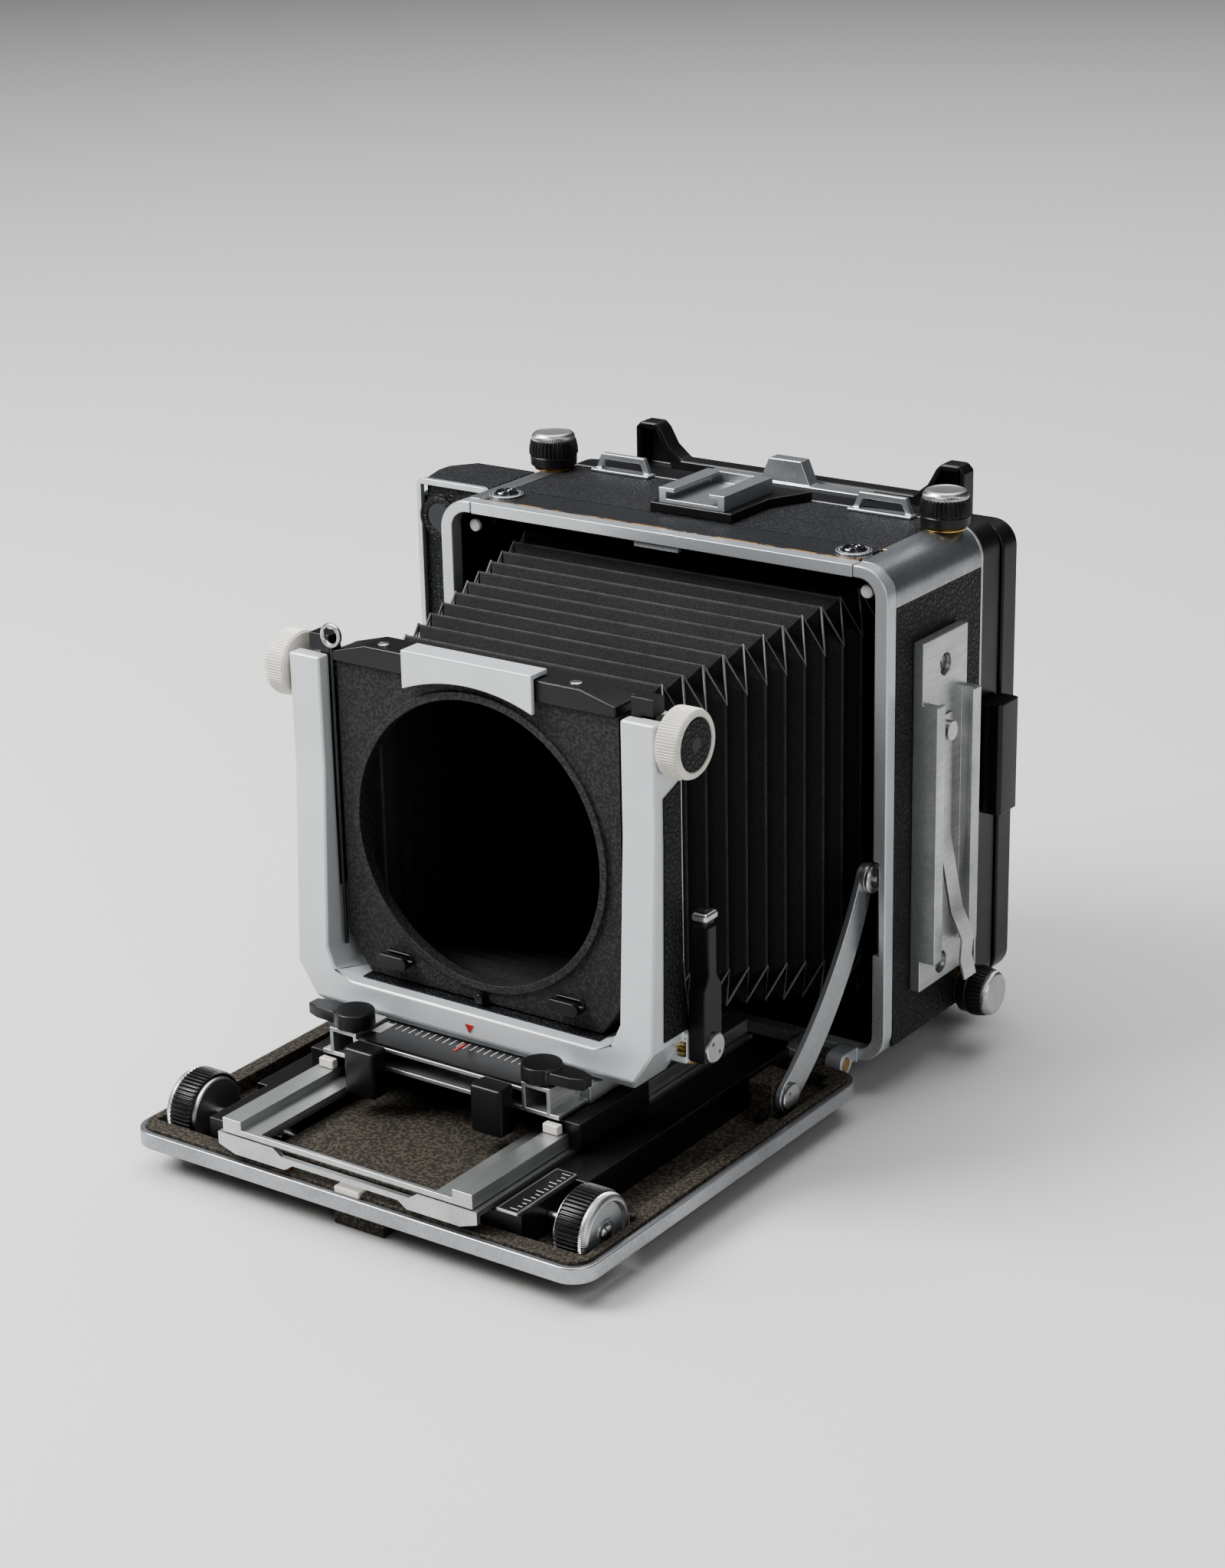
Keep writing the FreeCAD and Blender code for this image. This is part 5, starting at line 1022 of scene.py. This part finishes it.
    def marks(self):
        """Index marks, catch tab and pads."""
        for index, x in enumerate((-27.5, 27.5), 1):
            mark = block("ruler_end_%d" % index, at(x - 1.6, -108.0, 26.6), at(x + 1.6, -101.0, 26.85),
                         0.05 * MM, 1)
            dress(mark, "white_enamel", "swing")
        red = block("ruler_index", at(-0.5, -106.0, 26.6), at(0.5, -100.8, 26.9), 0.05 * MM, 1)
        dress(red, "red_enamel", "swing")
        plain()
        bpy.ops.mesh.primitive_circle_add(vertices=3, radius=1.7 * MM, fill_type="NGON")
        arrow = take("frame_index")
        edit(arrow)
        bpy.ops.mesh.select_all(action="SELECT")
        bpy.ops.mesh.extrude_region_move(TRANSFORM_OT_translate={"value": (0, 0, 0.25 * MM)})
        turn_outwards(arrow)
        dress(placed(arrow, at(0, -98.45, 31.2), -Y, math.pi), "red_enamel", "standard")
        catch = block("bed_catch", at(-4.5, -156.8, 1.9), at(4.5, -152.5, 4.0), 0.5 * MM)
        dress(catch, "ivory", "bed")
        for hand, side in SIDES:
            pad = block("rail_pad_" + hand, at(side * 38.2, -115.6, 14.8), at(side * 43.5, -113.0, 17.6),
                        0.4 * MM)
            dress(pad, "ivory", "carriage")
            stop = block("track_stop_" + hand, at(side * 22, -155.6, 3.2), at(side * 30, -153.2, 5.6),
                         0.3 * MM)
            dress(stop, "phenolic", "bed")

    def scale_plate(self):
        """Generic division marks on the focusing scale."""
        field = block("scale_field", at(49.25, -151.05, 9.35), at(55.35, -123.95, 9.82), 0.05 * MM, 1)
        dress(field, "rubber", "bed")
        edge, first, pitch, half = 54.7, -149.5, 2.0, 0.14
        marks = []
        for index in range(13):
            y = first + pitch * index
            reach = 2.6 if index % 3 == 0 else 1.5
            marks.append(block("mark", at(edge - reach, y - half, 9.7), at(edge, y + half, 9.86),
                               0.02 * MM, 1))
        dress(joined("scale_marks", marks), "white_enamel", "bed")

    def execute(self, context):
        finish("dark_chrome", (0.20, 0.20, 0.21), (0.10, 0.10, 0.11), "paint_mottle", 700,
               (0.28, 0.16), 0.002, metallic=1.0, dust=0.08)
        self.screws()
        self.buttons()
        self.ring_strip()
        self.lever_dress()
        self.marks()
        self.scale_plate()
        return {"FINISHED"}


# ---------------- stage ----------------

# name, place and size in metres, power in watts
LIGHTS = (("key", (-0.85, -0.75, 1.15), 0.8, 34), ("top", (-0.3, 0.5, 2.6), 3.0, 90),
          ("fill", (1.5, -1.0, 1.0), 1.0, 9))
LIT_POINT = Vector((0, -0.03, 0.08))
CAMERA_PLACE = (0.522987, -0.784288, 0.421427)
CAMERA_ANGLES = (35.3902, 19.9050, -1.22695)     # azimuth, elevation and roll in degrees
CAMERA_LENS = 72.862


class OBJECT_OT_camera_stage(bpy.types.Operator):
    """Pale floor, soft lights and the view's camera"""
    bl_idname = "object.field_camera_stage"
    bl_label = "Stage"

    def execute(self, context):
        plain()
        bpy.ops.mesh.primitive_plane_add(size=16, location=(0, 0, -0.0002))
        floor = take("floor")
        material = bpy.data.materials.new("floor_paper")
        material.use_nodes = True
        shader = material.node_tree.nodes["Principled BSDF"]
        shader.inputs["Base Color"].default_value = (0.62, 0.62, 0.61, 1)
        shader.inputs["Roughness"].default_value = 0.85
        floor.data.materials.append(material)
        world = bpy.data.worlds.new("studio")
        world.use_nodes = True
        world.node_tree.nodes["Background"].inputs["Color"].default_value = (0.80, 0.84, 0.90, 1)
        world.node_tree.nodes["Background"].inputs["Strength"].default_value = 0.09
        context.scene.world = world
        for name, place, size, power in LIGHTS:
            bpy.ops.object.light_add(type="AREA", location=place)
            light = bpy.context.object
            light.name = name
            light.data.size = size
            light.data.energy = power
            light.rotation_euler = (LIT_POINT - Vector(place)).to_track_quat("-Z", "Y").to_euler()
        bpy.ops.object.camera_add(location=CAMERA_PLACE)
        camera = bpy.context.object
        camera.name = "view"
        azimuth, elevation, roll = (math.radians(v) for v in CAMERA_ANGLES)
        flat = math.cos(elevation)
        back = Vector((math.sin(azimuth) * flat, -math.cos(azimuth) * flat, math.sin(elevation)))
        right = Vector((math.cos(azimuth), math.sin(azimuth), 0))
        up = back.cross(right)
        right, up = (right * math.cos(roll) + up * math.sin(roll),
                     up * math.cos(roll) - right * math.sin(roll))
        turn = Matrix((right, up, back)).transposed().to_4x4()
        camera.matrix_world = Matrix.Translation(camera.location) @ turn
        camera.data.sensor_fit = "AUTO"
        camera.data.sensor_width = 36.0
        camera.data.lens = CAMERA_LENS
        camera.data.clip_start = 0.01
        context.scene.camera = camera
        context.scene.view_settings.look = "AgX - Medium High Contrast"
        return {"FINISHED"}


STEPS = (OBJECT_OT_camera_metalwork, OBJECT_OT_camera_bellows, OBJECT_OT_camera_knobs,
         OBJECT_OT_camera_fittings, OBJECT_OT_camera_stage)


class VIEW3D_PT_field_camera(bpy.types.Panel):
    """Lists the steps of the finish"""
    bl_idname = "VIEW3D_PT_field_camera"
    bl_label = "Field camera"
    bl_space_type = "VIEW_3D"
    bl_region_type = "UI"
    bl_category = "Field camera"

    def draw(self, context):
        for group in (context.scene.field_camera_sizes, context.scene.field_camera_colours):
            for key in group.bl_rna.properties.keys():
                if key not in ("rna_type", "name"):
                    self.layout.prop(group, key)
        for step in STEPS:
            self.layout.operator(step.bl_idname)


CLASSES = (FieldCameraSizes, FieldCameraColours, *STEPS, VIEW3D_PT_field_camera)


def register():
    for cls in CLASSES:
        bpy.utils.register_class(cls)
    bpy.types.Scene.field_camera_sizes = bpy.props.PointerProperty(type=FieldCameraSizes)
    bpy.types.Scene.field_camera_colours = bpy.props.PointerProperty(type=FieldCameraColours)


def unregister():
    del bpy.types.Scene.field_camera_colours
    del bpy.types.Scene.field_camera_sizes
    for cls in reversed(CLASSES):
        bpy.utils.unregister_class(cls)


def main():
    register()
    for step in STEPS:
        space, name = step.bl_idname.split(".")
        getattr(getattr(bpy.ops, space), name)()
    plain()


if __name__ == "__main__":
    main()
